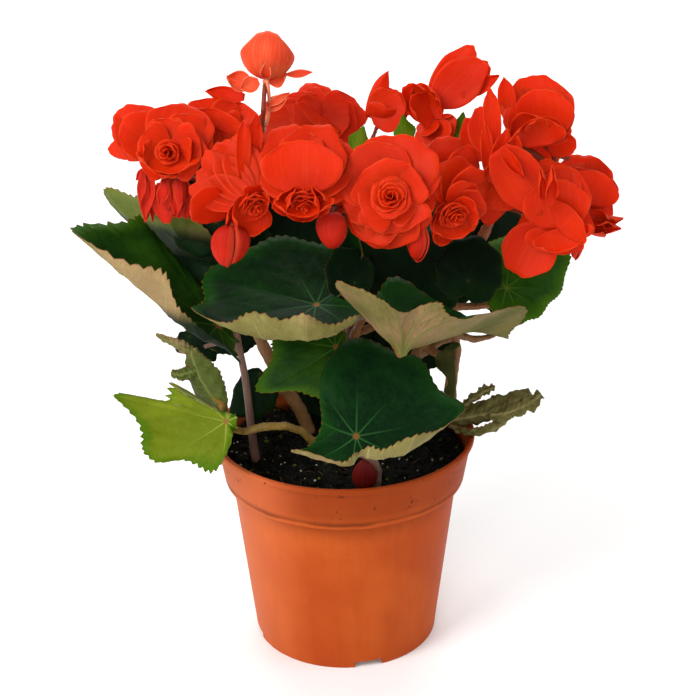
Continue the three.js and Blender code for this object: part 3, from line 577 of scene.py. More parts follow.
def blade_lattice(node):
    """A blade's CAD shell as a middle surface: its centre, its axes, and each ray's points."""
    rows = turned_rows(node, BLADE_RAYS, highest)
    top, bottom = rows[0][0], rows[-1][0]
    z = unit(top - bottom)
    x = unit(np.cross([0.3, 0.9, 0.2], z))
    y = np.cross(z, x)
    # The rays stand evenly, but their first bearing isn't known yet.
    first = np.angle(np.mean(np.exp(1j * BLADE_RAYS * bearings(rows[1], top, x, y)))) / BLADE_RAYS
    x, y = turned_axes(x, y, first)
    rings = [in_order(row, top, x, y) for row in rows[1:-1]]
    upper, lower = rings[: len(rings) // 2], rings[: len(rings) // 2 - 1 : -1]
    thickness = np.linalg.norm(upper[0] - lower[0], axis=1).mean()
    centre = top - z * thickness / 2
    middle = [(a + b) / 2 for a, b in zip(upper, lower)]
    middle = np.stack([np.repeat(centre[None], BLADE_RAYS, 0), *middle])
    reach = np.linalg.norm(np.diff(middle, axis=0), axis=2).sum(0)
    middle = np.roll(middle, -int(np.argmax(reach)), axis=1)
    seat = np.linalg.norm(centre - bottom)
    return {"centre": centre, "z": z, "middle": middle, "size": reach.max(), "seat": seat}


def spare_lattice(centre, face, tip, size):
    """The middle surface of a blade that has no CAD shell: a heart-shaped outline with drooping sides."""
    z = unit(face)
    tip = np.asarray(tip, float)
    x = unit(tip - z * (tip @ z))
    y = np.cross(z, x)
    angles = np.arange(BLADE_RAYS) * TAU / BLADE_RAYS
    reach = size * SPARE_REACH
    rows = []
    for share in BLADE_SHARES:
        flat = np.stack([np.cos(angles), np.sin(angles)], -1) * (reach * share)[:, None]
        low = SPARE_DROOP * share**2 * reach * (1 + 0.5 * np.cos(2 * angles))
        rows.append(centre + flat @ np.stack([x, y]) - z * low[:, None])
    return {"centre": centre, "z": z, "middle": np.stack(rows), "size": size, "seat": SEAT_RADIUS}


def reshaped(middle, moved, lifted):
    """A lattice with the ends of some rays moved in mm: the whole ray, or just its margin.

    Rays are numbered anticlockwise from the tip. moved and lifted hold runs of neighbouring rays, each
    under its first ray's number, and for each ray (right, up) or (right, up, away).
    """
    middle = middle.copy()
    for runs, pull in ((moved, ROW_SHARE), (lifted, MARGIN_SHARE)):
        for first, run in dict(runs).items():
            for ray, (right, up, *away) in enumerate(run, first):
                shift = np.array([right, away[0] if away else 0, up])
                middle[:, ray % BLADE_RAYS] += pull[:, None] * shift * MM
    return middle


def vein_sectors(rng, veins, theta):
    """Each bearing's angle off the nearest main vein, its sector, and how wide half of that sector is."""
    at = np.linspace(-VEIN_SPREAD, VEIN_SPREAD, veins) + rng.uniform(-5, 5, veins)
    at[veins // 2] = 0
    at = np.radians(at)
    nearest = np.argmin(np.abs(theta[:, None] - at), axis=1)
    off = theta - at[nearest]
    knots = np.concatenate([[-math.pi], (at[1:] + at[:-1]) / 2, [math.pi]])
    to_ends = np.minimum(np.abs(theta - knots[nearest]), np.abs(theta - knots[nearest + 1]))
    return off, np.searchsorted(at, theta), to_ends + np.abs(off)


def toothed(rng, own, theta, off, half_gap, lobe, tooth, teeth):
    """The blade's limit along each bearing, from its lobes and coarse teeth, and the run of each tooth."""
    lobes = lobe * np.cos(math.pi * np.clip(np.abs(off) / np.maximum(half_gap, 0.05), 0, 1))
    arc = np.cumsum(np.sqrt(np.maximum(own, 0.12)))
    arc = arc / arc[-1]
    saw = np.mod((arc + 0.4 * wander(rng, 4, 3)(theta) / teeth) * teeth, 1)
    saw = np.where(saw < 0.68, saw / 0.68, (1 - saw) / 0.32)
    fine = np.mod(arc * teeth * 2.7 + 0.3 * wander(rng, 3, 7)(theta), 1)
    bite = (saw - 0.5) * (1 + 0.5 * wander(rng, 3, 5)(theta)) + 0.28 * (np.abs(fine - 0.4) - 0.3)
    return 1 + lobes + tooth * bite / np.maximum(own, 0.35), saw


def blade(name, cad, top, under, slot="leaf", replaces=(), veins=9, lobe=0.03, tooth=0.02, teeth=64,
          wave=0.035, around_steps=256, out_steps=12, moved=(), lifted=()):
    """A leaf: a toothed, veined and puckered blade grown on a lattice, most often its CAD shell's."""
    rng = seeded(name)
    size, z = cad["size"], cad["z"]
    middle = reshaped(cad["middle"], moved, lifted)
    theta = np.linspace(-math.pi, math.pi, around_steps, endpoint=False)
    off, sector, half_gap = vein_sectors(rng, veins, theta)
    own = around(np.linalg.norm(np.diff(middle, axis=0), axis=2).sum(0) / size, theta)
    limit, saw = toothed(rng, own, theta, off, half_gap, lobe, tooth, teeth)

    # Places on the blade: a share of the way out along every bearing.
    seat_share = SEAT_FLARE / size
    inner = np.array([0.3, 0.5, 0.75, 1.0]) * seat_share
    share = np.concatenate([inner, np.linspace(seat_share * 1.6, 1, out_steps) ** 0.9])
    shares = share * (1 + (limit[:, None] - 1) * smoothstep(0.55, 1, share))
    weights = spline(BLADE_SHARES, np.eye(len(BLADE_SHARES)), shares)
    grid = np.einsum("ijk,ikc->ijc", weights, around(np.swapaxes(middle, 0, 1), theta))

    # How far each place lies from its main vein and from the branches that leave it.
    steps = np.concatenate([np.repeat(cad["centre"][None, None], around_steps, 0), grid], 1)
    out = np.cumsum(np.linalg.norm(np.diff(steps, axis=1), axis=2), axis=1)
    along = out * np.cos(off)[:, None]
    across = out * np.abs(np.sin(np.clip(off, -1.2, 1.2)))[:, None]
    spacing = 0.17 * size
    branch = (along - 1.15 * across) / spacing + rng.uniform(0, 1, veins + 1)[sector][:, None]
    from_branch = np.abs(branch - np.round(branch))

    # Relief: the blade swells between its veins and waves along its margin.
    swell = 1 - np.exp(-((across / (0.06 * size)) ** 2))
    swell *= 0.35 + 0.65 * np.sin(math.pi * from_branch) ** 2
    swell *= smoothstep(0.04, 0.3, out / size) * (1 - 0.4 * smoothstep(0.8, 1, share))
    waves = wander(rng, 5, 4)(theta)[:, None] * smoothstep(0.25, 1.05, share) ** 1.6
    waves = waves + 0.35 * wander(rng, 6, 11)(theta)[:, None] * smoothstep(0.6, 1.05, share) ** 2
    normal = normals_of(grid, closed=True)
    facing = np.sign((normal[:, :6] @ z).sum()) or 1
    grid = grid + normal * facing * (PUCKER * size * swell + wave * size * waves)[..., None]
    normal = normals_of(grid, closed=True) * facing

    # The two faces: the lower one carries its veins as ridges and the collar that the petiole meets.
    half = HALF_BLADE * (1 - 0.55 * smoothstep(0.9, 1, share))[None, :, None]
    ridge = VEIN_RIDGE * np.exp(-((across / VEIN_WIDTH) ** 2)) * np.clip(1 - 0.75 * out / size, 0, 1)
    fine_ridge = BRANCH_RIDGE * np.exp(-((from_branch * spacing / BRANCH_WIDTH) ** 2))
    ridge += fine_ridge * smoothstep(0.1, 0.3, out / size)
    ridge *= (1 - smoothstep(0.9, 1, share))[None, :]
    collar = 1 - smoothstep(SEAT_RADIUS, SEAT_FLARE, out)
    front = grid + normal * half
    back = grid - normal * (half + ridge[..., None]) * (1 - collar[..., None])
    back -= z * (collar * (cad["seat"] + SEAT_SINK))[..., None]

    # Faces and values, with the point in the middle of each side first.
    upper = np.arange(out.size).reshape(out.shape) + 2
    lower = upper + out.size
    rim = [upper[:, -1], lower[:, -1], np.roll(lower[:, -1], -1), np.roll(upper[:, -1], -1)]
    tops = [*fan(0, upper[:, 0]), *grid_quads(upper, closed=True)[:, ::-1]]
    unders = [*fan(1, lower[::-1, 0]), *grid_quads(lower, closed=True), *np.stack(rim, -1)]
    faces = tops + unders
    if facing < 0:
        faces = [face[::-1] for face in faces]
    poles = [cad["centre"] + z * HALF_BLADE, cad["centre"] - z * (cad["seat"] + SEAT_SINK)]
    values = {
        "vein": across / MM + 0.5 * out / size,
        "branch": from_branch + 0.25 * (out < 0.12 * size),
        "edge": np.linalg.norm(grid - grid[:, -1:], axis=2) / MM,
        "out": out / size,
        "tooth": np.broadcast_to(smoothstep(0.55, 0.9, saw)[:, None], out.shape),
    }
    full = {key: np.concatenate([[0, 0], value.ravel(), value.ravel()]) for key, value in values.items()}
    parts = Parts()
    points = np.concatenate([poles, front.reshape(-1, 3), back.reshape(-1, 3)])
    parts.add(points, faces, np.repeat([0, 1], [len(tops), len(unders)]), **full)
    return parts.build(f"{name}_blade", [top, under], replaces)


RIBBON_STEPS, RIBBON_COLUMNS = 56, 21
RIBBON_TEETH = 14
RIBBON_TOOTH = 0.12
RIBBON_THICK = 0.2 * MM


def add_ribbon(parts, path, half_widths, facing, rng, curl, crumple):
    """A curled-up strip of blade along a path, its face rolled inwards through curl degrees.

    facing is the way that its back looks at each point of the path.
    """
    at = np.linspace(0, 1, RIBBON_STEPS)
    knots = np.linspace(0, 1, len(path))
    line = spline(knots, np.array(path) * MM, at)
    wide = np.interp(at, knots, half_widths)[:, None] * MM
    along = unit(np.gradient(line, axis=0))
    out = spline(knots, np.array(facing, float), at)
    out = unit(out - along * (out * along).sum(-1, keepdims=True))
    side = np.cross(along, out)
    at = at[:, None]
    u = np.linspace(-1, 1, RIBBON_COLUMNS)[None, :]
    from_middle = np.abs(u)
    saw = np.mod(at * RIBBON_TEETH, 1)
    edge = RIBBON_TOOTH * (np.where(saw < 0.7, saw / 0.7, (1 - saw) / 0.3) - 0.5)
    reach = np.where(from_middle > 0.8, 1 + edge * (from_middle - 0.8) / 0.2, 1)
    turn = math.radians(curl) / 2
    angle = u * turn * reach
    radius = wide / max(turn, 0.2)
    phase = rng.uniform(0, TAU, 6)
    crease = np.sin(at * 21 + u * 3 + phase[0]) + np.sin(at * 37 - u * 5 + phase[1])
    crease = crease + np.sin(at * 9 + u * 8 + phase[2]) + 0.6 * np.sin(at * 63 + u * 11 + phase[3])
    radial = radius + crumple * crease * (0.5 + 0.5 * from_middle)
    middle = line[:, None] + side[:, None] * (radial * np.sin(angle))[..., None]
    middle = middle + out[:, None] * (radial * np.cos(angle) - radius)[..., None]
    branch = np.abs(np.mod(at * 9 - from_middle * 1.4, 1) - 0.5)
    thin = RIBBON_THICK * (1 - 0.5 * smoothstep(0.85, 1, from_middle))
    vein = from_middle * wide / MM
    away = (1 - from_middle) * wide / MM
    add_sheet(parts, middle, thin, vein=vein, branch=branch, edge=away, out=at * 0.6 + 0.2)


# Strips of curled-up blade: path, half-widths, the way the back looks, and degrees of curl.
CURLS = {
    "leaf_left_curl": [
        ([(-52, -31.5, 126), (-57, -33, 134), (-62, -31, 142), (-65, -29, 150), (-66, -28, 155.5)],
         [1.6, 8, 9.5, 6, 2.6], [(-0.3, -1, 0.2)] * 5, 120),
        ([(-66, -28, 154), (-70, -29, 156.5), (-75, -28, 158.5), (-81, -26, 161.5)],
         [2.4, 3.6, 2.6, 0.7], [(0.2, -1, 0.3), (0.3, -1, -0.2), (0.2, -1, -0.4), (0.2, -1, -0.2)], 120),
        ([(-64, -30, 146), (-70, -31, 144.5), (-75, -30, 144.5)], [3.4, 3, 1.6], [(0, -1, 0.3)] * 3, 70),
    ],
    "leaf_dried": [
        ([(47, -6, 109), (56, -8, 111), (66, -7, 113), (76, -4, 116), (86, -1, 119)],
         [1.6, 7, 9, 8, 3.4],
         [(0.1, -1, 0.5), (0, -1, 0.3), (0, -1, 0.1), (0, -1, 0.3), (0.2, -1, 0.5)], 210),
        ([(52, -4, 112), (58, -3, 117), (64, -2, 121), (69, 0, 122)],
         [1.2, 2.8, 2.8, 1.4], [(0, -1, 0.4), (0.2, -1, 0.1), (0.3, -1, 0), (0.3, -1, 0)], 190),
        ([(47, -7, 107), (56, -9, 103), (67, -8, 104), (77, -5, 110)],
         [1.4, 5.5, 6, 2.5], [(0, -0.6, -1), (0, -0.6, -1), (0, -0.8, -1), (0, -0.6, -1)], 130),
        ([(66, -9, 113), (75, -9, 114), (84, -6, 117), (90, -3, 120)],
         [3, 5.6, 5, 2.2], [(0, -1, 0.6), (0.1, -1, 0.2), (0.1, -1, 0.7), (0.1, -1, 0.7)], 170),
    ],
}


def curled_blade(name, inside, outside, crumple):
    """A blade that has rolled itself up, made of a few curled strips on the end of its petiole."""
    rng = seeded(name)
    parts = Parts()
    for path, half_widths, facing, curl in CURLS[name]:
        add_ribbon(parts, path, half_widths, facing, rng, curl, crumple)
    cad = blade_lattice(name)
    seat = cad["centre"] - cad["z"] * cad["seat"]
    second = np.array(CURLS[name][0][0][1]) * MM
    add_tube(parts, [seat - cad["z"] * MM, seat + cad["z"] * MM, second], [1.7, 1.5, 0.7], 1)
    return parts.build(f"{name}_blade", [outside, inside], [name])


# ------------------------------------------------------------------ flowers

COROLLA_RAYS = 12
GOLDEN = math.radians(137.5)
STEM_POINTS = np.concatenate([shell(name)[0] for name in NODES if name.startswith("stem_")])


def nearest_stem(poles, points):
    """The pole that stands nearest to a stem."""
    return min(poles, key=lambda i: np.linalg.norm(STEM_POINTS - points[i], axis=1).min())


def corolla_frame(node):
    """A flower's foot, heart and axes from its CAD shell, and how far and how wide its rim opens."""
    rows = turned_rows(node, COROLLA_RAYS, nearest_stem)
    foot, heart = rows[0][0], rows[-1][0]
    z = unit(heart - foot)
    x = unit(UP - z * z[2])
    y = np.cross(z, x)
    rim = in_order(rows[3], foot, x, y) - foot
    reach = np.linalg.norm(rim, axis=1)
    tilt = np.arccos(np.clip(rim @ z / reach, -1, 1))
    return {
        "foot": foot,
        "axes": np.stack([x, y, z]),
        "depth": np.linalg.norm(heart - foot),
        "reach": lambda angle: float(around(reach, angle)),
        "tilt": lambda angle: float(around(tilt, angle)),
        "size": reach.mean(),
    }


def petal_half(u, v, thickness):
    """Half a petal's thickness over its grid: it thins out towards its rim."""
    return thickness * (1 - 0.6 * smoothstep(0.8, 1, np.maximum(np.abs(u), v)))


def running_sum(lean, turn, step):
    """How far a line goes whose lean changes as it runs, by the sine or cosine of it."""
    return np.concatenate([[0], np.cumsum(turn((lean[1:] + lean[:-1]) / 2))]) * step


HEART_WIDTH = ([0, 0.3, 0.6, 0.85, 1], [0.3, 0.74, 1, 0.97, 0.82])
HEART_GRID = (11, 9)
HEART_THICK = 0.15 * MM
HEART_CUP = 0.02
HEART_SWIRL = 0.45 * MM
HEART_DROOP = 0.22
HEART_STEPS = 60  # steps that a petal's line is added up from


def add_petal(parts, flower, bearing, length, width, lean, inward, rng):
    """One petal of a heart: a blunt sheet that leaves the flower's foot and leans out more and more.

    lean is in radians from the flower's axis. inward runs from 0, the outer whorl, to 1, the inner one.
    """
    loose = 1 - inward
    u, v = sheet_grid(*HEART_GRID)
    droop = 1 - HEART_DROOP * np.abs(u) ** 2.6
    broad = spline(*HEART_WIDTH, v) * width / 2

    fine = np.linspace(0, 1, HEART_STEPS + 1)
    leans = lean * 0.45 + lean * 0.9 * fine**1.15 + (0.35 * loose + 0.08) * smoothstep(0.7, 1.05, fine)
    step = length / HEART_STEPS
    r = np.interp(v * droop, fine, 0.5 * MM + running_sum(leans, np.sin, step))
    h = np.interp(v * droop, fine, (0.4 + 0.4 * inward) * MM + running_sum(leans, np.cos, step))
    angle = np.interp(v * droop, fine, leans)

    bow = np.abs(r) + (0.8 + 3.5 * loose) * MM
    turn = np.clip(u * broad / bow, -2.9, 2.9)
    phase = rng.uniform(0, TAU, 3)
    ripple = np.sin(u * 3.1 + phase[0]) * 0.6 + np.sin(u * 6.3 + v * 2 + phase[1]) * 0.4
    push = HEART_CUP * width * u**2 * smoothstep(0.15, 0.9, v) + HEART_SWIRL * u
    push = push + (0.25 + 0.5 * loose) * MM * ripple * smoothstep(0.35, 1, v) ** 1.4
    push = push + 0.1 * MM * np.cos(u * 21) * smoothstep(0, 0.2, v) * (1 - v)
    out = r + bow * (np.cos(turn) - 1) - push * np.cos(angle) * np.cos(turn)
    side = bow * np.sin(turn) - push * np.cos(angle) * np.sin(turn)
    c, s = math.cos(bearing), math.sin(bearing)
    local = np.stack([out * c - side * s, out * s + side * c, h + push * np.sin(angle)], -1)
    middle = flower["foot"] + local @ flower["axes"]
    rim = np.minimum((1 - np.abs(u)) * broad, (1 - v) * length * droop) / MM
    add_sheet(parts, middle, petal_half(u, v, HEART_THICK), edge=rim, claw=v, fan=u + bearing)


# The knob that a flower's petals grow from: (share of its radius, height in mm).
KNOB = [(0.0, -0.9), (0.72, -0.8), (0.95, -0.2), (1.0, 0.5), (0.8, 1.4), (0.0, 1.9)]


def add_receptacle(parts, foot, axes, radius):
    """The knob that a flower's petals grow from, which its stalk runs into."""
    rays = 12
    angles = np.arange(rays) * TAU / rays
    ring = np.stack([np.cos(angles), np.sin(angles), np.zeros(rays)], -1)
    local = np.stack([ring * wide * radius + np.array([0, 0, high * MM]) for wide, high in KNOB])
    index = np.arange(len(KNOB) * rays).reshape(len(KNOB), rays).T
    parts.add(foot + local.reshape(-1, 3) @ axes, grid_quads(index, closed=True), 1, claw=0.5)


# How a petal is shaped: its widths from claw to lip, the droop of its corners, its bow lengthwise and its
# cup crosswise as shares of its size, how far its lip curls back, and where its face looks if not along
# the flower's axis.
ROUND = ([0, 0.2, 0.45, 0.72, 0.9, 1], [0.4, 0.76, 0.96, 1.0, 0.9, 0.72])
OVAL = ([0, 0.25, 0.5, 0.75, 0.92, 1], [0.4, 0.84, 1.0, 0.8, 0.42, 0.16])
BLUNT = ([0, 0.25, 0.5, 0.8, 0.93, 1], [0.6, 0.9, 1.0, 0.92, 0.7, 0.4])
GLOBE = ([0, 0.2, 0.42, 0.66, 0.86, 1], [0.2, 0.62, 0.9, 1.0, 0.9, 0.68])
KINDS = {
    "open": (ROUND, 0.25, 0.06, 0.06, 0.05, None),
    "sheet": (ROUND, 0.24, 0.07, 0.1, 0.06, (0, -1, 0.45)),
    "bowl": (ROUND, 0.28, 0.13, 0.2, -0.03, None),
    "tulip": (ROUND, 0.3, 0.14, 0.36, -0.02, None),
    "globe": (GLOBE, 0.36, 0.2, 0.34, -0.1, None),
    "blade": (BLUNT, 0.12, 0.05, 0.16, 0.02, None),
    "edge": (OVAL, 0.1, 0.12, 0.2, 0.03, (0, -1, 0.5)),
    "fold": (OVAL, 0.2, 0.05, 0.7, 0.02, None),
}


GUARD_GRID = (17, 14)
GUARD_THICK = 0.16 * MM
GUARD_WAVE = 0.5 * MM
GUARD_RIB = 0.07 * MM
GUARD_RISE = 0.4 * MM  # how far along the flower's axis its first petal starts
GUARD_STEP = 0.22 * MM  # and how much further each petal of a higher rank


def add_guard(parts, foot, axis, to, width, rng, kind="open", start=(0, 0, 0), rank=0, arch=None):
    """One outer petal: a broad smooth blade between two points, start and to, in mm from the flower's foot.

    Its hollow face looks along the flower's axis. Petals of a higher rank start further along it.
    """
    outline, droop, bow, cup, curl, facing = KINDS[kind]
    bow = bow if arch is None else arch
    base = np.asarray(start) * MM
    to = np.asarray(to) * MM - base
    length = np.linalg.norm(to)
    along_to = to / length
    towards = axis if facing is None else np.array(facing)
    face = unit(towards - along_to * (towards @ along_to))
    side = np.cross(along_to, face)
    u, v = sheet_grid(*GUARD_GRID)
    phase = rng.uniform(0, TAU, 4)
    nick = 0.5 * np.sin(2.6 * u + phase[0]) + 0.3 * np.sin(5.9 * u + phase[1])
    nick = nick + 0.2 * np.sin(13 * u + phase[3])
    run = v * (1 - droop * np.abs(u) ** 2.6 + 0.04 * nick * v)
    half = width / 2 * spline(*outline, v) * (1 + 0.05 * math.sin(phase[2]) * u)
    flow = np.sin(3.3 * u + phase[1]) * 0.55 + np.sin(6.1 * u + 2.2 * v + phase[2]) * 0.45
    height = -bow * length * 4 * run * (1 - run)
    height = height + cup * width * u**2 * smoothstep(0.05, 0.6, v)
    height = height - curl * length * smoothstep(0.66, 1.05, v) ** 1.5
    height = height + GUARD_WAVE * flow * smoothstep(0.35, 1, v) ** 1.5
    height = height + GUARD_RIB * np.cos(u * 17 + phase[0]) * smoothstep(0, 0.25, v) * (1 - 0.85 * v)
    start_at = foot + base + axis * (GUARD_RISE + rank * GUARD_STEP)
    middle = start_at + along_to * (run * length)[..., None]
    middle = middle + side * (u * half * (1 - 0.4 * abs(cup) * u**2))[..., None] + face * height[..., None]
    rim = np.minimum((1 - np.abs(u)) * half, (1 - v) * length) / MM
    add_sheet(parts, middle, petal_half(u, v, GUARD_THICK), edge=rim, claw=v, fan=u + phase[0])


def add_heart(parts, flower, rng, radius, whorls=(5, 5, 4, 3), lift=0.55):
    """A flower's heart: whorls of small petals, nested and rolled tighter and tighter inwards."""
    spin = rng.uniform(0, TAU)
    for ring, count in enumerate(whorls):
        inward = ring / (len(whorls) - 1)
        wide = radius * (1 - inward) ** 0.9 + 0.9 * MM * inward
        tall = flower["depth"] * (lift + (0.92 - lift) * inward)
        for k in range(count):
            bearing = spin + ring * GOLDEN + (k + rng.uniform(-0.14, 0.14)) * TAU / count
            out = wide * rng.uniform(0.88, 1.1)
            length = math.hypot(out, tall) * rng.uniform(0.97, 1.06)
            width = min(max(TAU * out / count * 1.5, 3.4 * MM), 1.3 * length)
            add_petal(parts, flower, bearing, length, width, math.atan2(out, tall), inward, rng)


def round_bloom(parts, flower, rng):
    """A double flower with no petals of its own named: three whorls of guards around a heart."""
    spin = rng.uniform(0, TAU)
    for ring, (share, arch) in enumerate(((1.08, 0.06), (0.9, 0.1), (0.66, 0.16))):
        for k in range(4):
            bearing = spin + ring * GOLDEN + (k + rng.uniform(-0.1, 0.1)) * TAU / 4
            reach = flower["reach"](bearing) * share
            tilt = flower["tilt"](bearing) * (1 - 0.18 * ring)
            sideways = math.sin(tilt)
            to = np.array([math.cos(bearing) * sideways, math.sin(bearing) * sideways, math.cos(tilt)])
            to = to @ flower["axes"] * reach / MM
            add_guard(parts, flower["foot"], flower["axes"][2], to, reach * 1.18, rng, rank=ring, arch=arch)
    add_heart(parts, flower, rng, 0.42 * flower["size"])


# Each flower's own petals, kind by kind: where the tip lies from the foot (right, away, up), the width, and
# where the petal starts if that isn't at the flower's seat, all in mm.
PETALS = {
    "cup_center": [
        ("open", (12, 3, 4, 16), (11, -1, -6, 16)),
        ("sheet", (15, 0, -1, 12)),
        ("fold", (2, -5, -15, 6), (6, -7, -19, 7), (10, -6, -23, 8)),
        ("open", (12, -4, -16, 13)),
        ("fold", (9, -6, -10, 6, 3, -6, -22)),
    ],
    "cup_right": [
        ("open", (-8, 12, 28, 14, -6, 4, 10), (-13, 12, 23, 12, -10, 4, 6)),
        ("blade", (-6, 2, 38, 8, -3, 1, 15), (-8, -3, 25, 6, -5, -2, 1), (1, -4, 23, 8, -5, -4, -1),
         (5, -3, 20, 10, -1, -3, -1)),
        ("open", (10, -1, 12, 16), (-8, -4, -4, 20), (-1, -5, -12, 22), (16, -2, -3, 16), (-7, -2, -19, 13),
         (15, -10, -11, 21, -3, -5, 15)),
        ("fold", (8, -8, 3, 7, -2, -5, 16)),
    ],
    "cup_top_center": [
        ("blade", (4, 3, 22, 8, -4, 1, 2)),
        ("sheet", (7, 7, 13, 17), (11, 0, 12, 17)),
        ("open", (16, -4, 6, 9)),
        ("sheet", (10, -6, 10, 21, -4, -2, 3)),
        ("bowl", (3, -7, 8, 17)),
    ],
    "cup_top_left": [
        ("tulip", (9, 6, 10, 17), (11, 5, 6, 13), (-5, 6, 10, 18)),
        ("globe", (2, -2, 20, 27)),
        ("edge", (-17, -1, 1, 10, -6, -2, -2), (20, 2, 2, 4, 9, 2, 1), (9, 1, 1, 10, 1, 0, -1),
         (-11, -4, -4, 8, -3, -3, -1), (9, -4, -8, 7, -1, -2, -13), (10, -5, -6, 4, 0, -3, -12)),
    ],
    "cup_top_middle": [
        ("tulip", (-13, 1, 16, 15), (-7, 3, 16, 16), (-2, 4, 12, 13)),
        ("bowl", (-11, -5, 11, 16)),
        ("open", (0, -7, -10, 19), (-6, -6, -5, 12), (7, -5, -7, 16), (4, 5, -1, 15)),
    ],
    "cup_top_right": [
        ("sheet", (16, 7, 25, 17, -1, 1, 2), (22, 5, 18, 17, 0, 0, 2), (19, -2, 21, 20, -1, -2, 3)),
        ("edge", (26, -4, 15, 8, 10, -3, 6)),
    ],
    "rose_center_left": [
        ("sheet", (-5, 16, 17, 28), (10, 14, 18, 29), (21, 12, 10, 24), (-11, 9, 8, 24), (21, 7, 0, 21),
         (-12, 5, -3, 19), (3, 0, 16, 34)),
        ("bowl", (-10, -8, -9, 17), (14, -8, -9, 18), (-4, -11, -11, 20), (9, -11, -11, 21),
         (3, -13, -11, 26)),
    ],
    "rose_front": [
        ("open", (-1, 9, 27, 40), (-13, 7, 22, 32), (-20, 3, 8, 30), (11, 9, 23, 29), (17, 5, 9, 26),
         (-17, -1, -10, 28), (-6, -5, -17, 30), (4, -6, -16, 28), (13, -2, -8, 24), (-7, -1, 17, 28),
         (6, -1, 16, 27), (10, -5, 2, 24), (-13, -5, 2, 26), (1, -8, -10, 30)),
    ],
    "rose_front_right": [
        ("open", (5, 14, 24, 35), (15, 12, 18, 30), (19, 7, 7, 29), (17, -1, -4, 23), (-5, 12, 14, 21),
         (10, 3, 18, 33), (15, -2, 6, 25)),
        ("bowl", (13, -7, -6, 20), (-5, -7, -4, 15), (5, -9, -11, 23), (-4, -10, -13, 15)),
    ],
    "rose_left": [
        ("sheet", (5, 14, 18, 30), (-5, 12, 11, 23), (13, 7, 12, 24), (-10, 3, 10, 25), (5, 0, 13, 28)),
        ("open", (-14, -7, 4, 25), (12, -7, 2, 25)),
        ("bowl", (-10, -9, -3, 21), (6, -9, -3, 22), (-3, -11, -5, 29)),
    ],
    "rose_left_back": [
        ("sheet", (3, 9, 10, 32), (-5, 12, 5, 22), (11, 5, 4, 24), (10, 0, -5, 22), (2, -4, -12, 30)),
        ("open", (-9, -1, -7, 24)),
        ("edge", (-6, 8, 13, 8, 11, 8, 10)),
        ("sheet", (3, -2, 6, 28)),
    ],
    "rose_left_front": [
        ("blade", (6, 6, 27, 8, 3, 3, 2), (1, 3, 26, 7, 0, 0, 2)),
        ("sheet", (9, 9, 16, 16), (-3, 7, 19, 17), (-10, 7, 17, 18), (-16, 5, 12, 17), (-19, 3, 5, 17),
         (-22, -1, -1, 16)),
        ("open", (-20, -5, -13, 22, -9, -2, -1)),
        ("bowl", (-7, -9, -16, 16), (0, -10, -17, 21), (8, -7, -9, 17)),
        ("open", (8, -5, 2, 17)),
    ],
    "rose_left_tip": [
        ("sheet", (3, 12, 6, 21, 12, 3, -10), (-5, 9, 7, 24, 11, 2, -9), (-8, 7, 1, 19, 11, 2, -9),
         (-10, 3, -9, 12, 8, 1, -5), (-3, 0, -11, 15, 9, 0, -2), (5, 0, -11, 19, 8, 0, 0),
         (-2, -2, 5, 22, 14, -1, -8)),
    ],
    "rose_right_low": [
        ("sheet", (-16, 7, -10, 22), (-1, 14, 23, 25), (7, 12, 20, 25), (10, 7, 7, 27), (10, 3, -4, 23),
         (-2, -4, -13, 26), (-10, 0, -3, 19), (-17, -4, -22, 24, -6, 0, -2), (-1, -2, 19, 29),
         (7, -5, 6, 26)),
        ("bowl", (3, -8, -10, 28)),
        ("fold", (-9, -7, 26, 6, -6, -5, 10), (-4, -8, 27, 7, -4, -6, 9)),
    ],
    "rose_right_side": [
        ("sheet", (3, 14, 13, 27), (10, 12, 8, 26), (13, 7, -2, 24), (13, 3, -8, 18), (-5, 9, 7, 24),
         (-4, 5, -5, 20), (7, -2, 9, 26)),
        ("fold", (18, -4, -11, 8, 3, -2, -13), (17, -6, -15, 9, 2, -3, -14), (10, -6, -19, 10, 1, -3, -14),
         (12, -6, -12, 10, 2, -3, -10)),
    ],
    "rose_right_top": [
        ("sheet", (10, 7, -23, 20, 0, 3, -7)),
        ("blade", (-13, 3, 17, 8, -11, 1, 0)),
        ("sheet", (1, 9, 17, 32), (-7, 7, 11, 22), (9, 5, 12, 23), (10, 3, 4, 19), (-13, 0, 4, 15)),
        ("open", (16, -2, -14, 14, 7, -1, -6)),
        ("sheet", (0, -5, 15, 29)),
        ("bowl", (-8, -8, 6, 19, 0, -6, -7), (5, -8, 5, 20, 1, -6, -7), (-1, -10, 5, 24, 1, -8, -8)),
    ],
    "rose_top_back": [
        ("sheet", (-27, 12, 0, 18), (-29, 7, -6, 23), (-7, 20, 11, 21), (1, 18, 7, 23), (10, 16, 4, 24),
         (18, 14, 2, 21), (22, 9, -2, 15), (15, -1, -8, 24), (5, 3, 6, 23), (13, -2, 1, 22), (-11, 12, 6, 20),
         (-16, 9, 6, 14), (-13, 0, 0, 20), (-3, -4, -3, 24)),
    ],
}
# Where a flower's petals start, in mm from the foot of its stalk, if not right there.
SEATS = {
    "rose_left": (-1, -3, 2), "rose_left_front": (3, -4, -3), "rose_center_left": (3, -5, -4),
    "rose_front": (0, -3, 3), "rose_front_right": (2, -4, 0), "rose_right_top": (3, -3, -8),
    "rose_right_side": (2, -2, -5), "rose_right_low": (0, -2, -2), "rose_left_back": (0, -1, -2),
}
# How far the small petals of the heart spread, in mm. A flower that isn't here shows no heart.
HEARTS = {
    "rose_left": 5, "rose_left_front": 6.5, "rose_center_left": 8, "rose_front": 9, "rose_front_right": 7,
}
WIDE_HEART = 6  # a heart that spreads further than this has more petals
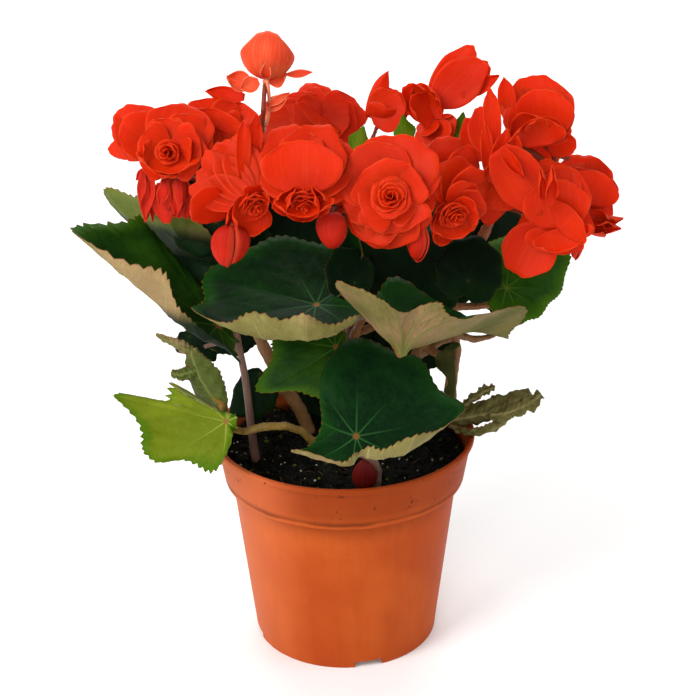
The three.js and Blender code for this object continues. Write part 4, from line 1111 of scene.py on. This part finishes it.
# Juicy stalks that show below a flower: paths from its foot and their radii, in mm.
PEDICELS = {
    "cup_top_left": [
        ([(0, 0, 1), (-1, 0, -7), (-1.5, 0, -14), (-1.4, 0.4, -22)], [1.1, 1.0, 1.0, 1.1]),
        ([(0.6, -1, 1), (1.3, -1, -6), (1, -0.6, -13), (-0.6, 0, -19)], [0.9, 0.8, 0.9, 1.0]),
    ],
    "rose_right_top": [
        ([(0.4, 2, -5.5), (7, 2, -14.6), (15.5, 2, -18.6)], [1.3, 1.2, 1.2]),
        ([(4.2, 2, -5.5), (8.4, 3, -15), (10.2, 3, -26)], [1.2, 1.1, 1.1]),
        ([(-8.4, 2, -11), (1.3, 3, -17), (9, 3, -24)], [1.3, 1.3, 1.2]),
    ],
}


def bloom(name, skin, stalk):
    """A flower: its own petals where they are named, or an even round of them."""
    rng = seeded(name)
    flower = corolla_frame(name)
    foot, axes = flower["foot"], flower["axes"]
    parts = Parts()
    seat = SEATS.get(name, (0, 0, 0))
    shift = np.array(seat) * MM
    petals = [(kind, petal) for kind, *group in PETALS.get(name, []) for petal in group]
    for rank, (kind, (right, away, up, width, *start)) in enumerate(petals):
        add_guard(parts, foot, axes[2], (right, away, up), width * MM, rng, kind, start or seat, rank)
    if name in HEARTS:
        whorls = (6, 5, 5, 4, 3) if HEARTS[name] > WIDE_HEART else (5, 4, 3)
        add_heart(parts, {**flower, "foot": foot + shift}, rng, HEARTS[name] * MM, whorls)
    if any(seat):
        add_tube(parts, [foot, foot + shift / 2, foot + shift], [1.4, 1.5, 1.0], 1, claw=0.5)
    if not petals:
        round_bloom(parts, flower, rng)
    for path, radii in PEDICELS.get(name, []):
        add_tube(parts, foot + np.array(path) * MM, radii, 1)
    add_receptacle(parts, foot, axes, 1.5 * MM)
    return parts.build(f"{name}_petals", [skin, stalk], [name])


# ------------------------------------------------------------------ buds

BUD_RAYS = 8
# How each bud stands: one or more pairs of valves, each with its shift to the right in mm, its shares of the
# bud's width and length, and the twist of its seam in degrees.
BUDS = {
    "bud_left_open": [(0, 1.04, 1, 68)],
    "bud_left_pair": [(-2.4, 0.5, 0.84, 34), (2.8, 0.5, 0.8, -28)],
    "bud_left_long": [(0, 0.6, 0.9, 26)],
    "bud_front": [(0, 1, 1, 40)],
    "bud_center": [(0, 1, 1, 24)],
    "bud_right_end": [(0, 1, 1, 60)],
    "bud_right_top": [(0, 1, 1, 50)],
    "shed_petal": [(1.6, 0.72, 1, 0)],
}
# Buds that have opened into loose petals: (start, tip, width, kind), in mm from the bud's foot.
LOOSE = {
    "bud_left_long": [
        ((1.4, -1.0, 4.9), (-0.8, -6.0, -17.6), 7.9, "edge"),
        ((2.5, 1.0, -3.6), (2.2, -1.0, -19.8), 4.2, "edge"),
        ((0.2, 2.0, 3.1), (-4.0, 0.0, -1.5), 3.7, "edge"),
        ((-0.8, -1.0, 2.3), (-2.5, -4.0, -11.1), 4.2, "edge"),
    ],
    "bud_left_pair": [
        ((4.1, 4.0, -1.5), (5.4, 3.0, -18.9), 7.9, "open"),
        ((1.6, 3.0, -2.0), (1.8, 1.0, -18.6), 8.4, "open"),
        ((-4.2, 2.0, -2.5), (-2.6, -2.0, -19.3), 10.7, "open"),
        ((1.9, -1.0, -2.0), (1.5, -4.0, -15.9), 6.1, "edge"),
        ((-2.2, -1.0, -1.5), (-4.9, -4.0, -10.6), 5.6, "edge"),
    ],
}
LOOSE_AXIS = unit([0, -1, 0.2])  # the way that their hollow faces look


VALVE_GRID = (21, 19)
VALVE_THICK = 0.16 * MM
VALVE_KEEL = 0.3 * MM
VALVE_LIP = 0.2 * MM
VALVE_RIB = 0.05 * MM
VALVE_GAP = 0.06 * MM  # the seam, which parts three times as far again towards its end


def add_valves(parts, foot, z, length, spans, axes, twist):
    """Two keeled petals pressed edge to edge round an axis, their seam turned by twist degrees."""
    flat, face = turned_axes(*axes, math.radians(twist))
    c, s = math.cos(math.radians(twist)), math.sin(math.radians(twist))
    half_flat = math.hypot(spans[0] * c, spans[1] * s)
    half_face = math.hypot(spans[1] * c, spans[0] * s)
    u, v = sheet_grid(*VALVE_GRID)
    outline = np.sin(math.pi * v**0.8) ** 0.54
    for side, grow in ((1, 1.04), (-1, 0.97)):
        half_wide = np.maximum(outline, 0.05) * half_flat * grow
        proud = half_face * np.maximum(outline, 0.05) * (1 - np.abs(u) ** 2.4) ** 0.7
        proud = proud + VALVE_KEEL * np.exp(-((u / 0.09) ** 2)) * outline
        proud = proud + VALVE_LIP * smoothstep(0.82, 1, np.abs(u)) * outline
        proud = proud + VALVE_RIB * np.cos(u * 24) * outline
        proud = proud + VALVE_GAP * (1 + 3 * smoothstep(0.6, 1, v))
        points = foot + z * (v * length * grow)[..., None] + flat * (u * half_wide)[..., None]
        points = points + face * (side * proud)[..., None]
        edge = (1 - np.abs(u)) * half_wide / MM
        add_sheet(parts, points, VALVE_THICK, edge=edge, claw=v, fan=u + side)


def bud(node, skin, stalk, first=highest):
    """A bud, on the place, length and spans of its CAD shell. first chooses the end that it hangs from."""
    rows = turned_rows(node, BUD_RAYS, first)
    foot, end = rows[0][0], rows[-1][0]
    z = unit(end - foot)
    length = np.linalg.norm(end - foot)
    away = rows[2] - foot
    away -= np.outer(away @ z, z)
    spans = np.linalg.norm(away, axis=1)
    x = unit(away[np.argmax(spans)])
    y = np.cross(z, x)
    parts = Parts()
    for rank, (start, to, wide, kind) in enumerate(LOOSE.get(node, [])):
        add_guard(parts, foot, LOOSE_AXIS, to, wide * MM, seeded(f"{node}_{rank}"), kind, start, rank)
    for shift, wide, tall, twist in BUDS[node]:
        place = foot + RIGHT * shift * MM
        pair = (spans.max() * wide, spans.min() * min(1, 0.6 + 0.4 * wide))
        add_valves(parts, place, z, length * tall, pair, (x, y), twist)
        add_receptacle(parts, place, np.stack([x, y, z]), 1.2 * MM)
    return parts.build(f"{node}_petals", [skin, stalk], [node])


# ------------------------------------------------------------------ pot and mix

POT_SEGMENTS = 176
POT_WALL = 1.3 * MM
FLOOR_LIFT = 3.6 * MM  # how high the pot's floor stands above its foot
HUB_RADIUS = 14 * MM
CORNER = 0.8 * MM
NOTCH = {"count": 4, "depth": 8 * MM, "width": 13 * MM, "height": 3.3 * MM, "first": math.radians(-76)}
DRAIN = {"count": 6, "radius": 3.4 * MM, "circle": 28 * MM}
LATHE_SHARE = 26  # a pair of radius and height that more points than this share is a row of the lathe
LATHE_SNAP = 0.02 * MM


def lathe_levels(node):
    """The (radius, height) pairs that a lathe-turned node's points share, from its CAD shell."""
    points, _ = shell(node)
    pairs = np.stack([np.hypot(points[:, 0], points[:, 1]), points[:, 2]], -1)
    keys, counts = np.unique(np.round(pairs / LATHE_SNAP), axis=0, return_counts=True)
    return keys[counts > LATHE_SHARE] * LATHE_SNAP


def rounded(profile, radius, steps=5):
    """A closed profile with its corners rounded off."""
    profile = np.asarray(profile)
    made = []
    for i, corner in enumerate(profile):
        before, after = profile[i - 1] - corner, profile[(i + 1) % len(profile)] - corner
        reach = min(radius, 0.45 * np.linalg.norm(before), 0.45 * np.linalg.norm(after))
        if corner[0] < 0.1 * MM or reach < 0.01 * MM:
            made.append(corner)
            continue
        a, b = corner + unit(before) * reach, corner + unit(after) * reach
        for t in np.linspace(0, 1, steps):
            made.append((1 - t) ** 2 * a + 2 * t * (1 - t) * corner + t * t * b)
    return np.array(made)


def round_rows(rays, pairs):
    """For each bearing, the points at the given (radius, height) pairs."""
    angles = np.arange(rays) * TAU / rays
    points = [np.stack([np.cos(angles) * r, np.sin(angles) * r, np.full(rays, z)], -1) for r, z in pairs]
    return np.stack(points, 1)


def prism(name, outline, height):
    """A tool to cut with: a flat outline of complex numbers, drawn up and down from the ground."""
    count = len(outline)
    points = [(p.real, p.imag, z) for z in (-height, height) for p in outline]
    faces = [(i, (i + 1) % count, (i + 1) % count + count, i + count) for i in range(count)]
    faces += [tuple(range(count - 1, -1, -1)), tuple(range(count, 2 * count))]
    mesh = bpy.data.meshes.new(name)
    mesh.from_pydata(points, [], faces)
    return in_scene(name, mesh)


def cut_with(piece, tools):
    """Cuts tools out of a piece and removes them."""
    for tool in tools:
        cut = piece.modifiers.new(tool.name, "BOOLEAN")
        cut.operation = "DIFFERENCE"
        cut.solver = "EXACT"
        cut.object = tool
    graph = bpy.context.evaluated_depsgraph_get()
    mesh = bpy.data.meshes.new_from_object(piece.evaluated_get(graph))
    piece.modifiers.clear()
    piece.data = mesh
    for tool in tools:
        bpy.data.objects.remove(tool)


def pot_profile():
    """The pot's section on its CAD shell's rows, from the middle of its foot round to that of its floor."""
    levels = lathe_levels("pot")
    heights = np.unique(np.round(levels[:, 1] / (0.05 * MM))) * 0.05 * MM
    outer = np.array([[levels[np.abs(levels[:, 1] - z) < 0.06 * MM, 0].max(), z] for z in heights])
    between = lambda low, high: outer[(outer[:, 1] > low * MM) & (outer[:, 1] < high * MM)]
    foot, brim = outer[0], outer[-1]
    body = between(70, 79.6)[-1]
    collar_foot = between(80, 81)[0]
    collar_top = between(98, 99)[0]
    lip = between(99, 101.8)
    slope = (body[0] - foot[0]) / (body[1] - foot[1])
    inside = lambda z: foot[0] + slope * z - POT_WALL
    floor = FLOOR_LIFT + POT_WALL
    return [
        [0, 0], [HUB_RADIUS, 0], [HUB_RADIUS + 2 * MM, FLOOR_LIFT], [inside(FLOOR_LIFT), FLOOR_LIFT],
        [inside(0), 0], foot, body, [collar_foot[0] - 0.4 * MM, collar_foot[1] - 0.7 * MM],
        collar_foot, collar_top, lip[0], lip[-1], brim, [brim[0] - POT_WALL, brim[1]],
        [collar_top[0] - POT_WALL - 0.6 * MM, collar_top[1] - 1 * MM],
        [collar_foot[0] - POT_WALL, collar_foot[1] + 0.9 * MM],
        [inside(80 * MM), collar_foot[1] - 1.9 * MM], [inside(floor), floor],
        [HUB_RADIUS + 1 * MM, floor], [HUB_RADIUS - 1 * MM, POT_WALL], [0, POT_WALL],
    ]


def make_pot():
    sharp = pot_profile()
    profile = rounded(sharp, CORNER)
    wall = round_rows(POT_SEGMENTS, profile[1:-1])
    poles = [[0, 0, profile[0, 1]], [0, 0, profile[-1, 1]]]
    parts = Parts()
    parts.add(np.concatenate([poles, wall.reshape(-1, 3)]), capped(*wall.shape[:2]))
    made = parts.build("pot_shell", [pot_plastic()], ["pot"])
    tools = []
    foot = max(r for r, z in sharp if z < SNAP)
    corners = np.array([-1 - 1j, 1 - 1j, 1 + 1j, -1 + 1j]) / 2
    block = corners.real * NOTCH["depth"] + 1j * corners.imag * NOTCH["width"] + foot
    for i in range(NOTCH["count"]):
        turn = NOTCH["first"] + i * TAU / NOTCH["count"]
        tools.append(prism(f"notch_{i}", block * np.exp(1j * turn), NOTCH["height"]))
    circle = DRAIN["radius"] * np.exp(1j * np.arange(24) * TAU / 24)
    for i in range(DRAIN["count"]):
        centre = DRAIN["circle"] * np.exp(1j * (i + 0.5) * TAU / DRAIN["count"])
        tools.append(prism(f"drain_{i}", circle + centre, 2 * FLOOR_LIFT))
    cut_with(made, tools)
    made.data.polygons.foreach_set("use_smooth", [True] * len(made.data.polygons))
    made.data.set_sharp_from_angle(angle=math.radians(38))
    return made


def lumps(x, y, phases):
    """A heap of smooth random bumps, for the mix's surface."""
    total = 0
    for k, (wave, height) in enumerate(((9, 1.0), (5, 0.9), (3, 0.75), (1.8, 0.5), (1.1, 0.32))):
        for j in range(5):
            direction, phase = phases[k, j]
            run = (x * math.cos(direction) + y * math.sin(direction)) * TAU / (wave * MM * (1 + 0.2 * j))
            total = total + height / 2.6 * np.sin(run + phase)
    return total


# What lies on the mix: how many, and from how small to how large, in mm. Their number is their material.
CRUMBS = [(900, 0.6, 2.6), (190, 0.35, 1.0), (160, 0.5, 1.3), (220, 0.5, 1.4)]
FIBRE = 2
MIX_RAYS, MIX_RINGS = 200, 64
MIX_SINK = 1.2 * MM  # how far the mix lies under its CAD shell in the middle
MIX_CROWN = 2.4 * MM  # and how much further at the wall
MIX_LUMP = 1.35 * MM


def make_mix():
    """Loose peat: a rough surface, crumbs and fibres on it, and a few pale flecks."""
    rng = seeded("potting_mix")
    phases = rng.uniform(0, TAU, (5, 5, 2))
    low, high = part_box("potting_mix")
    levels = lathe_levels("potting_mix")
    wall = levels[levels[:, 1] > high.z - 4 * MM][:, 0].max()
    base = levels[np.abs(levels[:, 1] - low.z) < 0.3 * MM][:, 0].max()

    def surface(x, y):
        """The mix's height: a low crown with lumps on it."""
        crown = high.z - MIX_SINK - MIX_CROWN * (np.hypot(x, y) / wall) ** 3
        return crown + lumps(x, y, phases) * MIX_LUMP

    radii = np.linspace(0.012, 1, MIX_RINGS) ** 0.8 * wall
    below = [(wall, 0), (base + (wall - base) * 0.55, 78 * MM), (base, low.z)]
    grid = round_rows(MIX_RAYS, [(r, 0) for r in radii] + below)
    top = grid[:, :MIX_RINGS]
    top[..., 2] = surface(top[..., 0], top[..., 1])
    grid[:, MIX_RINGS, 2] = top[:, -1, 2] - 4 * MM
    poles = [[0, 0, float(top[:, 0, 2].mean())], [0, 0, low.z]]
    parts = Parts()
    faces = [face[::-1] for face in capped(*grid.shape[:2])]
    parts.add(np.concatenate([poles, grid.reshape(-1, 3)]), faces)
    for kind, (count, small, large) in enumerate(CRUMBS):
        for _ in range(count):
            angle, out = rng.uniform(0, TAU), wall * 0.97 * math.sqrt(rng.uniform(0, 1))
            x, y = out * math.cos(angle), out * math.sin(angle)
            size = rng.uniform(small, large) * MM
            shape = np.array([1, rng.uniform(0.5, 0.9), rng.uniform(0.35, 0.7)])
            if kind == FIBRE:
                shape = np.array([rng.uniform(2, 5), 0.22, 0.18])
            add_crumb(parts, (x, y, surface(x, y) + size * 0.15), size * shape, rng, kind)
    skins = [
        peat("peat_dark", (4, 5, 3), (22, 20, 13)),
        peat("perlite", (150, 146, 128), (206, 204, 190)),
        peat("peat_fibre", (58, 42, 24), (98, 78, 48)),
        peat("moss", (46, 58, 12), (98, 104, 34)),
    ]
    return parts.build("mix_surface", skins, ["potting_mix"])


def icosahedron():
    """Twelve points and twenty faces."""
    golden = (1 + math.sqrt(5)) / 2
    pairs = itertools.product((-1, 1), (-golden, golden))
    points = np.array([point for a, b in pairs for point in ((0, a, b), (a, b, 0), (b, 0, a))])
    faces = []
    for i, j, k in itertools.combinations(range(12), 3):
        a, b, c = points[[i, j, k]]
        if max(np.linalg.norm(b - a), np.linalg.norm(c - b), np.linalg.norm(c - a)) < 2.1:
            outward = np.dot(np.cross(b - a, c - a), a) > 0
            faces.append((i, j, k) if outward else (i, k, j))
    return unit(points), faces


LUMP_POINTS, LUMP_FACES = icosahedron()


def add_crumb(parts, place, size, rng, slot):
    points = LUMP_POINTS * (1 + rng.uniform(-0.28, 0.28, (12, 1))) * size
    turn = Matrix.Rotation(rng.uniform(0, TAU), 3, "Z") @ Matrix.Rotation(rng.uniform(-0.5, 0.5), 3, "X")
    parts.add(points @ np.array(turn).T + np.array(place), LUMP_FACES, slot)


# ------------------------------------------------------------------ stems

BARK = bpy.data.textures.new("bark", "CLOUDS")
BARK.noise_scale = 4 * MM
BARK.noise_depth = 2
STEM_VOXEL = 0.6 * MM
STEM_SWELL = 0.3 * MM  # what the smoothing takes off is given back
STEM_BUMP = 0.9 * MM


def modify(piece, name, kind, **settings):
    made = piece.modifiers.new(name, kind)
    for key, value in settings.items():
        setattr(made, key, value)


def dress_stem(node, skin):
    """A stem keeps its CAD solid: it is rounded, its forks are blended, and it gets its skin."""
    piece = NODES[node]
    modify(piece, "rounded", "REMESH", mode="VOXEL", voxel_size=STEM_VOXEL, use_smooth_shade=True)
    modify(piece, "blended", "SMOOTH", factor=0.5, iterations=6)
    modify(piece, "swollen", "DISPLACE", strength=STEM_SWELL, mid_level=0.0)
    modify(piece, "uneven", "DISPLACE", texture=BARK, texture_coords="LOCAL", strength=STEM_BUMP)
    piece.data.materials.clear()
    piece.data.materials.append(skin)


# Stalks that are drawn anew, each a list of (path, radii), in mm.
STALKS = {
    "petiole_left": [
        ([(-40, -12, 92), (-42, -13, 113), (-44, -14, 134), (-46, -14, 151), (-48, -12, 161)],
         [2.1, 1.8, 1.65, 1.55, 1.5]),
        ([(-45.6, -14, 147), (-53, -9, 150), (-62, -6, 147)], [1.3, 1.2, 0.9]),
    ],
}


def draw_stalk(node, skin):
    """A stalk built from smooth tubes, in place of its CAD solid."""
    rng = seeded(node)
    parts = Parts()
    for path, radii in STALKS[node]:
        bent = np.array(path) + rng.normal(0, 0.25, (len(path), 3))
        add_tube(parts, bent * MM, radii, sides=16, steps=12)
    parts.build(f"{node}_stalk", [skin], [node])


# ------------------------------------------------------------------ the plant

LEAF_GREEN = leaf_top("leaf_green", (6, 27, 8), (14, 46, 10), (44, 92, 38), margin=(16, 58, 8))
# A lighter copy of the green for the front blade, which the lamps leave darker: painted light.
LEAF_FRONT_LIT = leaf_top("leaf_front_lit", (9, 33, 14), (18, 54, 18), (48, 96, 44), margin=(20, 60, 12))
# A darker copy of the green, for the blades deep in the plant: painted shade.
LEAF_SHADED = leaf_top("leaf_shaded", (6, 21, 8), (11, 33, 8), (17, 38, 13), gloss=0.5, rust=0.15)
LEAF_BRIGHT = leaf_top("leaf_bright", (15, 45, 6), (34, 66, 7), (68, 98, 34), margin=(48, 80, 8))
LEAF_FRESH = leaf_top("leaf_fresh", (20, 58, 5), (48, 86, 6), (72, 104, 32), margin=(56, 92, 8), rust=0.3)
LEAF_PALE = leaf_top("leaf_pale", (94, 108, 16), (112, 124, 24), (142, 154, 66), 0.5, (60, 98, 4))
LEAF_DRY = leaf_top("leaf_dry", (54, 54, 22), (28, 40, 12), (60, 54, 26), gloss=0.6, rust=0.15)
BEIGE = ((132, 122, 70), (104, 98, 46), (152, 144, 94))
OLIVE = ((98, 108, 40), (80, 92, 28), (124, 132, 66))
UNDER_BEIGE = leaf_under("under_beige", *BEIGE)
# Two undersides darkened below a height by painted shade, where the blades above shade them.
UNDER_WING_SHADED = leaf_under("under_wing_shaded", *BEIGE, ((8, 26, 6), 0.174, 0.184))
UNDER_OLIVE = leaf_under("under_olive", *OLIVE)
UNDER_BACK_SHADED = leaf_under("under_back_shaded", *OLIVE, ((16, 30, 8), 0.196, 0.205))
UNDER_CUP = leaf_under("under_cup", (108, 99, 50), (80, 78, 30), (108, 114, 50))
UNDER_PALE = leaf_under("under_pale", (112, 118, 58), (92, 98, 42), (148, 150, 88))
UNDER_CURL = leaf_under("under_curl", (84, 94, 38), (62, 74, 28), (102, 108, 54))
UNDER_DRY = leaf_under("under_dry", (98, 92, 48), (66, 64, 28), (128, 116, 72))
PETAL = petal_skin("petal_red", (198, 39, 4), (222, 74, 32), (188, 26, 3))
# A lighter copy of the petal, with a paler rim, for the flower on top: painted highlight.
PETAL_HIGHLIT = petal_skin("petal_highlit", (222, 80, 44), (250, 168, 132), (206, 46, 16))
BUD_SKIN = petal_skin("bud_red", (186, 30, 12), (222, 80, 50), (140, 16, 6), glow=0.15)
SHED_SKIN = petal_skin("shed_red", (82, 14, 12), (108, 34, 24), (54, 10, 9), glow=0.05)
STEM_SKIN = stem_skin("stem_skin", (124, 90, 54), (132, 84, 48), (128, 44, 24))
OLIVE_SKIN = stem_skin("olive_skin", (122, 98, 44), (128, 100, 46), (128, 100, 46))
PINK_SKIN = stem_skin("pedicel_skin", (236, 136, 98), (236, 136, 98), (240, 142, 106))
GREY_SKIN = stem_skin("petiole_skin", (104, 79, 68), (126, 94, 78), (126, 88, 72))

SMALL = {"around_steps": 132, "out_steps": 7, "teeth": 44}
# How each blade differs from the usual one, and its two faces if they aren't the usual ones.
BLADES = {
    "left_wing": {
        "top": LEAF_BRIGHT, "under": UNDER_WING_SHADED, "tooth": 0.03,
        "moved": {12: [(-8, 3), (-10, 11), (-11, 21), (-4, 15)]},
        "lifted": {1: [(0, 6), (-2, 5), (-2, 0), (3, -6), (3, -6)]},
    },
    "left_back": {
        "top": LEAF_BRIGHT, "under": UNDER_BACK_SHADED, "tooth": 0.03,
        "moved": {14: [(-4, 11), (0, 9), (6, 7), (1, 10), (-2, 11), (0, 8)]},
    },
    "center": {
        "moved": {2: [(0, 2), (0, 2)], 11: [(2, 5), (0, 7), (-1, 9), (-7, 5), (-3, 0)]},
        "lifted": {0: [(-2, 2), (-1, 2.5), (-2, 3), (1, 3), (0, 0.5)]},
    },
    "front_cup": {
        "under": UNDER_CUP, "wave": 0.03, "lobe": 0.05,
        "moved": {8: [(-7, 4), (-5, 1), (-3, 2), (-2, -6), (3, -6), (7, -6), (5, -13), (-3, -7), (-2, 1),
                      (11, -18, -6), (14, -17)]},
    },
    "front_low": {
        "top": LEAF_FRONT_LIT, "wave": 0.03, "lobe": 0.04,
        "moved": {5: [(4, 0), (6, 0), (4, 0), (-8, -5), (-8, -1)], 14: [(0, 1), (0, 2), (-4, 0), (-3, 0)]},
        "lifted": {8: [(-1, 2, -1), (-2, 3, -1), (-1, 3, -1), (0, 3, -1), (0, 2, -1), (1, 5, -2), (2, 6, -2),
                       (2, 6, -2), (1, 2, -2)]},
    },
    "right": {
        "top": LEAF_FRESH, "lobe": 0.045, "tooth": 0.03,
        "moved": {11: [(-2, 3), (-5, 4), (-7, 4), (-6, 1), (1, 0), (7, 3), (5, 4)]},
    },
    "left_mid": {
        "top": LEAF_BRIGHT, "lobe": 0.06, "tooth": 0.035, "teeth": 56,
        "moved": {14: [(-3, 0), (0, 2), (-1, 5), (-1, 9), (0, 6)]},
    },
    "left_low": {
        "top": LEAF_PALE, "under": UNDER_PALE, "slot": "pale_leaf",
        "lobe": 0.05, "tooth": 0.04, "teeth": 56, "veins": 7, "wave": 0.1,
        "moved": {12: [(-8, 1), (-14, 6, 1), (-18, 5, 2), (-17, -3, 2), (-3, 6), (-1, 10), (-4, 7), (-4, 10),
                       (-3, 2), (-2, 1)]},
    },
    "right_small": {
        **SMALL, "top": LEAF_DRY, "under": UNDER_DRY, "wave": 0.12,
        "moved": {14: [(1, -2), (-3, -7), (-8, -8), (-12, -3), (-9, -2), (-6, 0)]},
    },
    "left_small": {**SMALL, "moved": {15: [(6, 3), (9, 4), (8, 3), (3, 1)]}},
    "low_small": {**SMALL, "moved": {0: [(2 + 2 * math.cos(k * 0.39), -6) for k in range(BLADE_RAYS)]}},
    "back_side": {
        "moved": {11: [(-10, 7), (-20, 10), (-28, 13), (-32, 14), (-32, 14), (-40, 14), (-26, 9), (-10, 3)]},
    },
    "fold": SMALL, "right_upper": SMALL, "left_upper": SMALL, "back_center": SMALL,
}
# These blades, deep in the plant, wear the darker copy of the green: painted shade.
SHADED_BLADES = ["left_small", "low_small", "right_upper", "left_upper", "back_center", "back_side"]
# The pale leaflets between the flowers: their tips are drawn up and their sides drawn in.
SPRIG = {
    **SMALL, "tooth": 0.06,
    "moved": {
        15: [(-0.5, 2), (0, 4), (0.5, 2)], 3: [(2, 0), (2.5, 0), (2, 0)], 11: [(-2, 0), (-2.5, 0), (-2, 0)],
    },
}
# Blades that fill the plant's heart: centre, bearing and tip (right, away, up), and size in mm. All but the
# sprigs wear the darker copy of the green and stand for the shade between leaves and flowers: painted shade.
INNER_BLADES = {
    "inner_left": ((-52, 12, 178), (-0.25, -0.75, 0.6), (-0.5, 0.1, 0.85), 34),
    "inner_left_high": ((-38, 24, 186), (-0.1, -0.8, 0.6), (-0.1, 0.2, 1), 34),
    "inner_middle": ((-14, 14, 184), (0.05, -0.8, 0.6), (-0.4, 0.1, 1), 36),
    "inner_middle_high": ((8, 20, 188), (0.1, -0.85, 0.5), (0.5, 0.1, 1), 33),
    "inner_right": ((40, 24, 176), (0.1, -0.8, 0.6), (0.4, 0.1, 1), 36),
    "inner_right_high": ((62, 30, 180), (0.3, -0.8, 0.55), (0.5, 0.2, 0.9), 32),
    "inner_left_low": ((-48, 26, 150), (-0.3, -0.8, 0.5), (-0.7, 0.1, 0.3), 30),
    "inner_right_low": ((33, 16, 139), (0.2, -0.8, 0.5), (0.3, 0.1, 0.8), 27),
    "inner_middle_low": ((18, 18, 143), (0.1, -0.8, 0.5), (-0.3, 0.1, 0.8), 26),
    "inner_low_back": ((-17, 36, 105), (0.1, -0.8, 0.5), (0.6, 0.1, 0.4), 24),
    "inner_left_edge": ((-56, 12, 199), (-0.2, -0.8, 0.5), (-0.2, 0, 1), 30),
    "inner_right_edge": ((59, 38, 168), (0.1, -0.9, 0.4), (-0.3, 0, 1), 34),
    "inner_front_right": ((54, -24, 184), (0.1, -0.9, 0.4), (0.3, 0, 1), 20),
    "inner_fold": ((5, -35, 188), (0.5, -0.8, 0.3), (-0.3, 0, 1), 16),
    "sprig_middle": ((29, 6, 237), (0.1, -0.9, 0.4), (-0.2, 0, 1), 8),
    "sprig_right": ((51, 6, 238), (0.1, -0.9, 0.4), (0.3, 0, 1), 8),
    "sprig_left": ((6, 2, 233), (0.1, -0.9, 0.4), (0.5, 0, 1), 9),
}

for name in sorted(NODES):
    if name.startswith("leaf_") and name not in CURLS:
        kind = name[5:]
        faces = (LEAF_SHADED, UNDER_OLIVE) if kind in SHADED_BLADES else (LEAF_GREEN, UNDER_BEIGE)
        shape = {"top": faces[0], "under": faces[1], **BLADES.get(kind, {})}
        blade(name, blade_lattice(name), replaces=[name], **shape)

curled_blade("leaf_left_curl", LEAF_PALE, UNDER_CURL, 0.25 * MM)
curled_blade("leaf_dried", LEAF_DRY, UNDER_DRY, 0.6 * MM)

for name, (centre, face, tip, size) in INNER_BLADES.items():
    lattice = spare_lattice(np.array(centre) * MM, face, tip, size * MM)
    # The inner blades are painted dark as shade; the sprigs are pale leaflets.
    top, shape = (LEAF_PALE, SPRIG) if name.startswith("sprig") else (LEAF_SHADED, SMALL)
    blade(name, lattice, top, UNDER_OLIVE, **shape)

for name in sorted(NODES):
    if name == "cup_top_left":
        # The flower on top wears the petal painted lighter: painted highlight.
        bloom(name, PETAL_HIGHLIT, PINK_SKIN)
    elif name.startswith(("rose_", "cup_")):
        bloom(name, PETAL, STEM_SKIN)
    elif name.startswith("bud_"):
        bud(name, BUD_SKIN, STEM_SKIN)
    elif name.startswith("stem_"):
        dress_stem(name, STEM_SKIN)
    elif name in STALKS:
        draw_stalk(name, GREY_SKIN)
    elif name.startswith("petiole_"):
        dress_stem(name, OLIVE_SKIN if name == "petiole_low" else GREY_SKIN)

bud("shed_petal", SHED_SKIN, STEM_SKIN, lowest)
make_pot()
make_mix()

# ------------------------------------------------------------------ floor, light and camera

FLOOR_REACH = 4.0
CAMERA = {"place": (0.0, -0.72, 0.4573), "pitch": -0.412, "yaw": 0.003, "roll": -0.0095, "lens": 90.05}
# The lights: place, what they look at, their size across and their power.
LIGHTS = {
    "key": ((-0.9, -0.8, 1.1), (0, 0, 0.15), 0.8, 18),
    "backdrop": ((0, 2.0, 1.7), (0, 1.7, 0), 2.4, 55),
    "front": ((-0.25, -1.5, 0.75), (0, 0, 0.15), 0.7, 8),
    "fill": ((1.2, -0.3, 0.9), (0, 0, 0.15), 1.0, 5),
}


def make_floor():
    square = ((-1, -1), (1, -1), (1, 1), (-1, 1))
    corners = [(x * FLOOR_REACH, y * FLOOR_REACH, CAD_BOX[0].z) for x, y in square]
    mesh = bpy.data.meshes.new("floor")
    mesh.from_pydata(corners, [], [(0, 1, 2, 3)])
    look = Look("floor_white", 0.1)
    grain = look.noise(3, 2)
    look.color = (247, 247, 247)
    look.lay((249.3, 249.3, 249.3), grain)
    mesh.materials.append(look.finish(0.9))
    in_scene("floor", mesh)


def soft_light(name, place, aim, size, power):
    data = bpy.data.lights.new(name, "AREA")
    data.shape = "DISK"
    data.size = size
    data.energy = power
    light = in_scene(name, data)
    light.location = place
    light.rotation_euler = (Vector(aim) - Vector(place)).to_track_quat("-Z", "Y").to_euler()


def make_camera():
    data = bpy.data.cameras.new("camera")
    data.sensor_width = 36
    data.lens = CAMERA["lens"]
    data.clip_start = 0.01
    camera = in_scene("camera", data)
    upright = Matrix.Rotation(-CAMERA["yaw"], 4, "Z") @ Matrix.Rotation(math.pi / 2 + CAMERA["pitch"], 4, "X")
    rolled = upright @ Matrix.Rotation(CAMERA["roll"], 4, "Z")
    camera.matrix_world = Matrix.Translation(CAMERA["place"]) @ rolled
    bpy.context.scene.camera = camera


def make_world():
    world = bpy.data.worlds.new("studio")
    world.use_nodes = True
    background = world.node_tree.nodes["Background"]
    background.inputs["Color"].default_value = (1, 1, 1, 1)
    background.inputs["Strength"].default_value = 0.4
    bpy.context.scene.world = world


make_floor()
make_world()
for name, light in LIGHTS.items():
    soft_light(name, *light)
make_camera()
bpy.context.scene.view_settings.view_transform = "Standard"
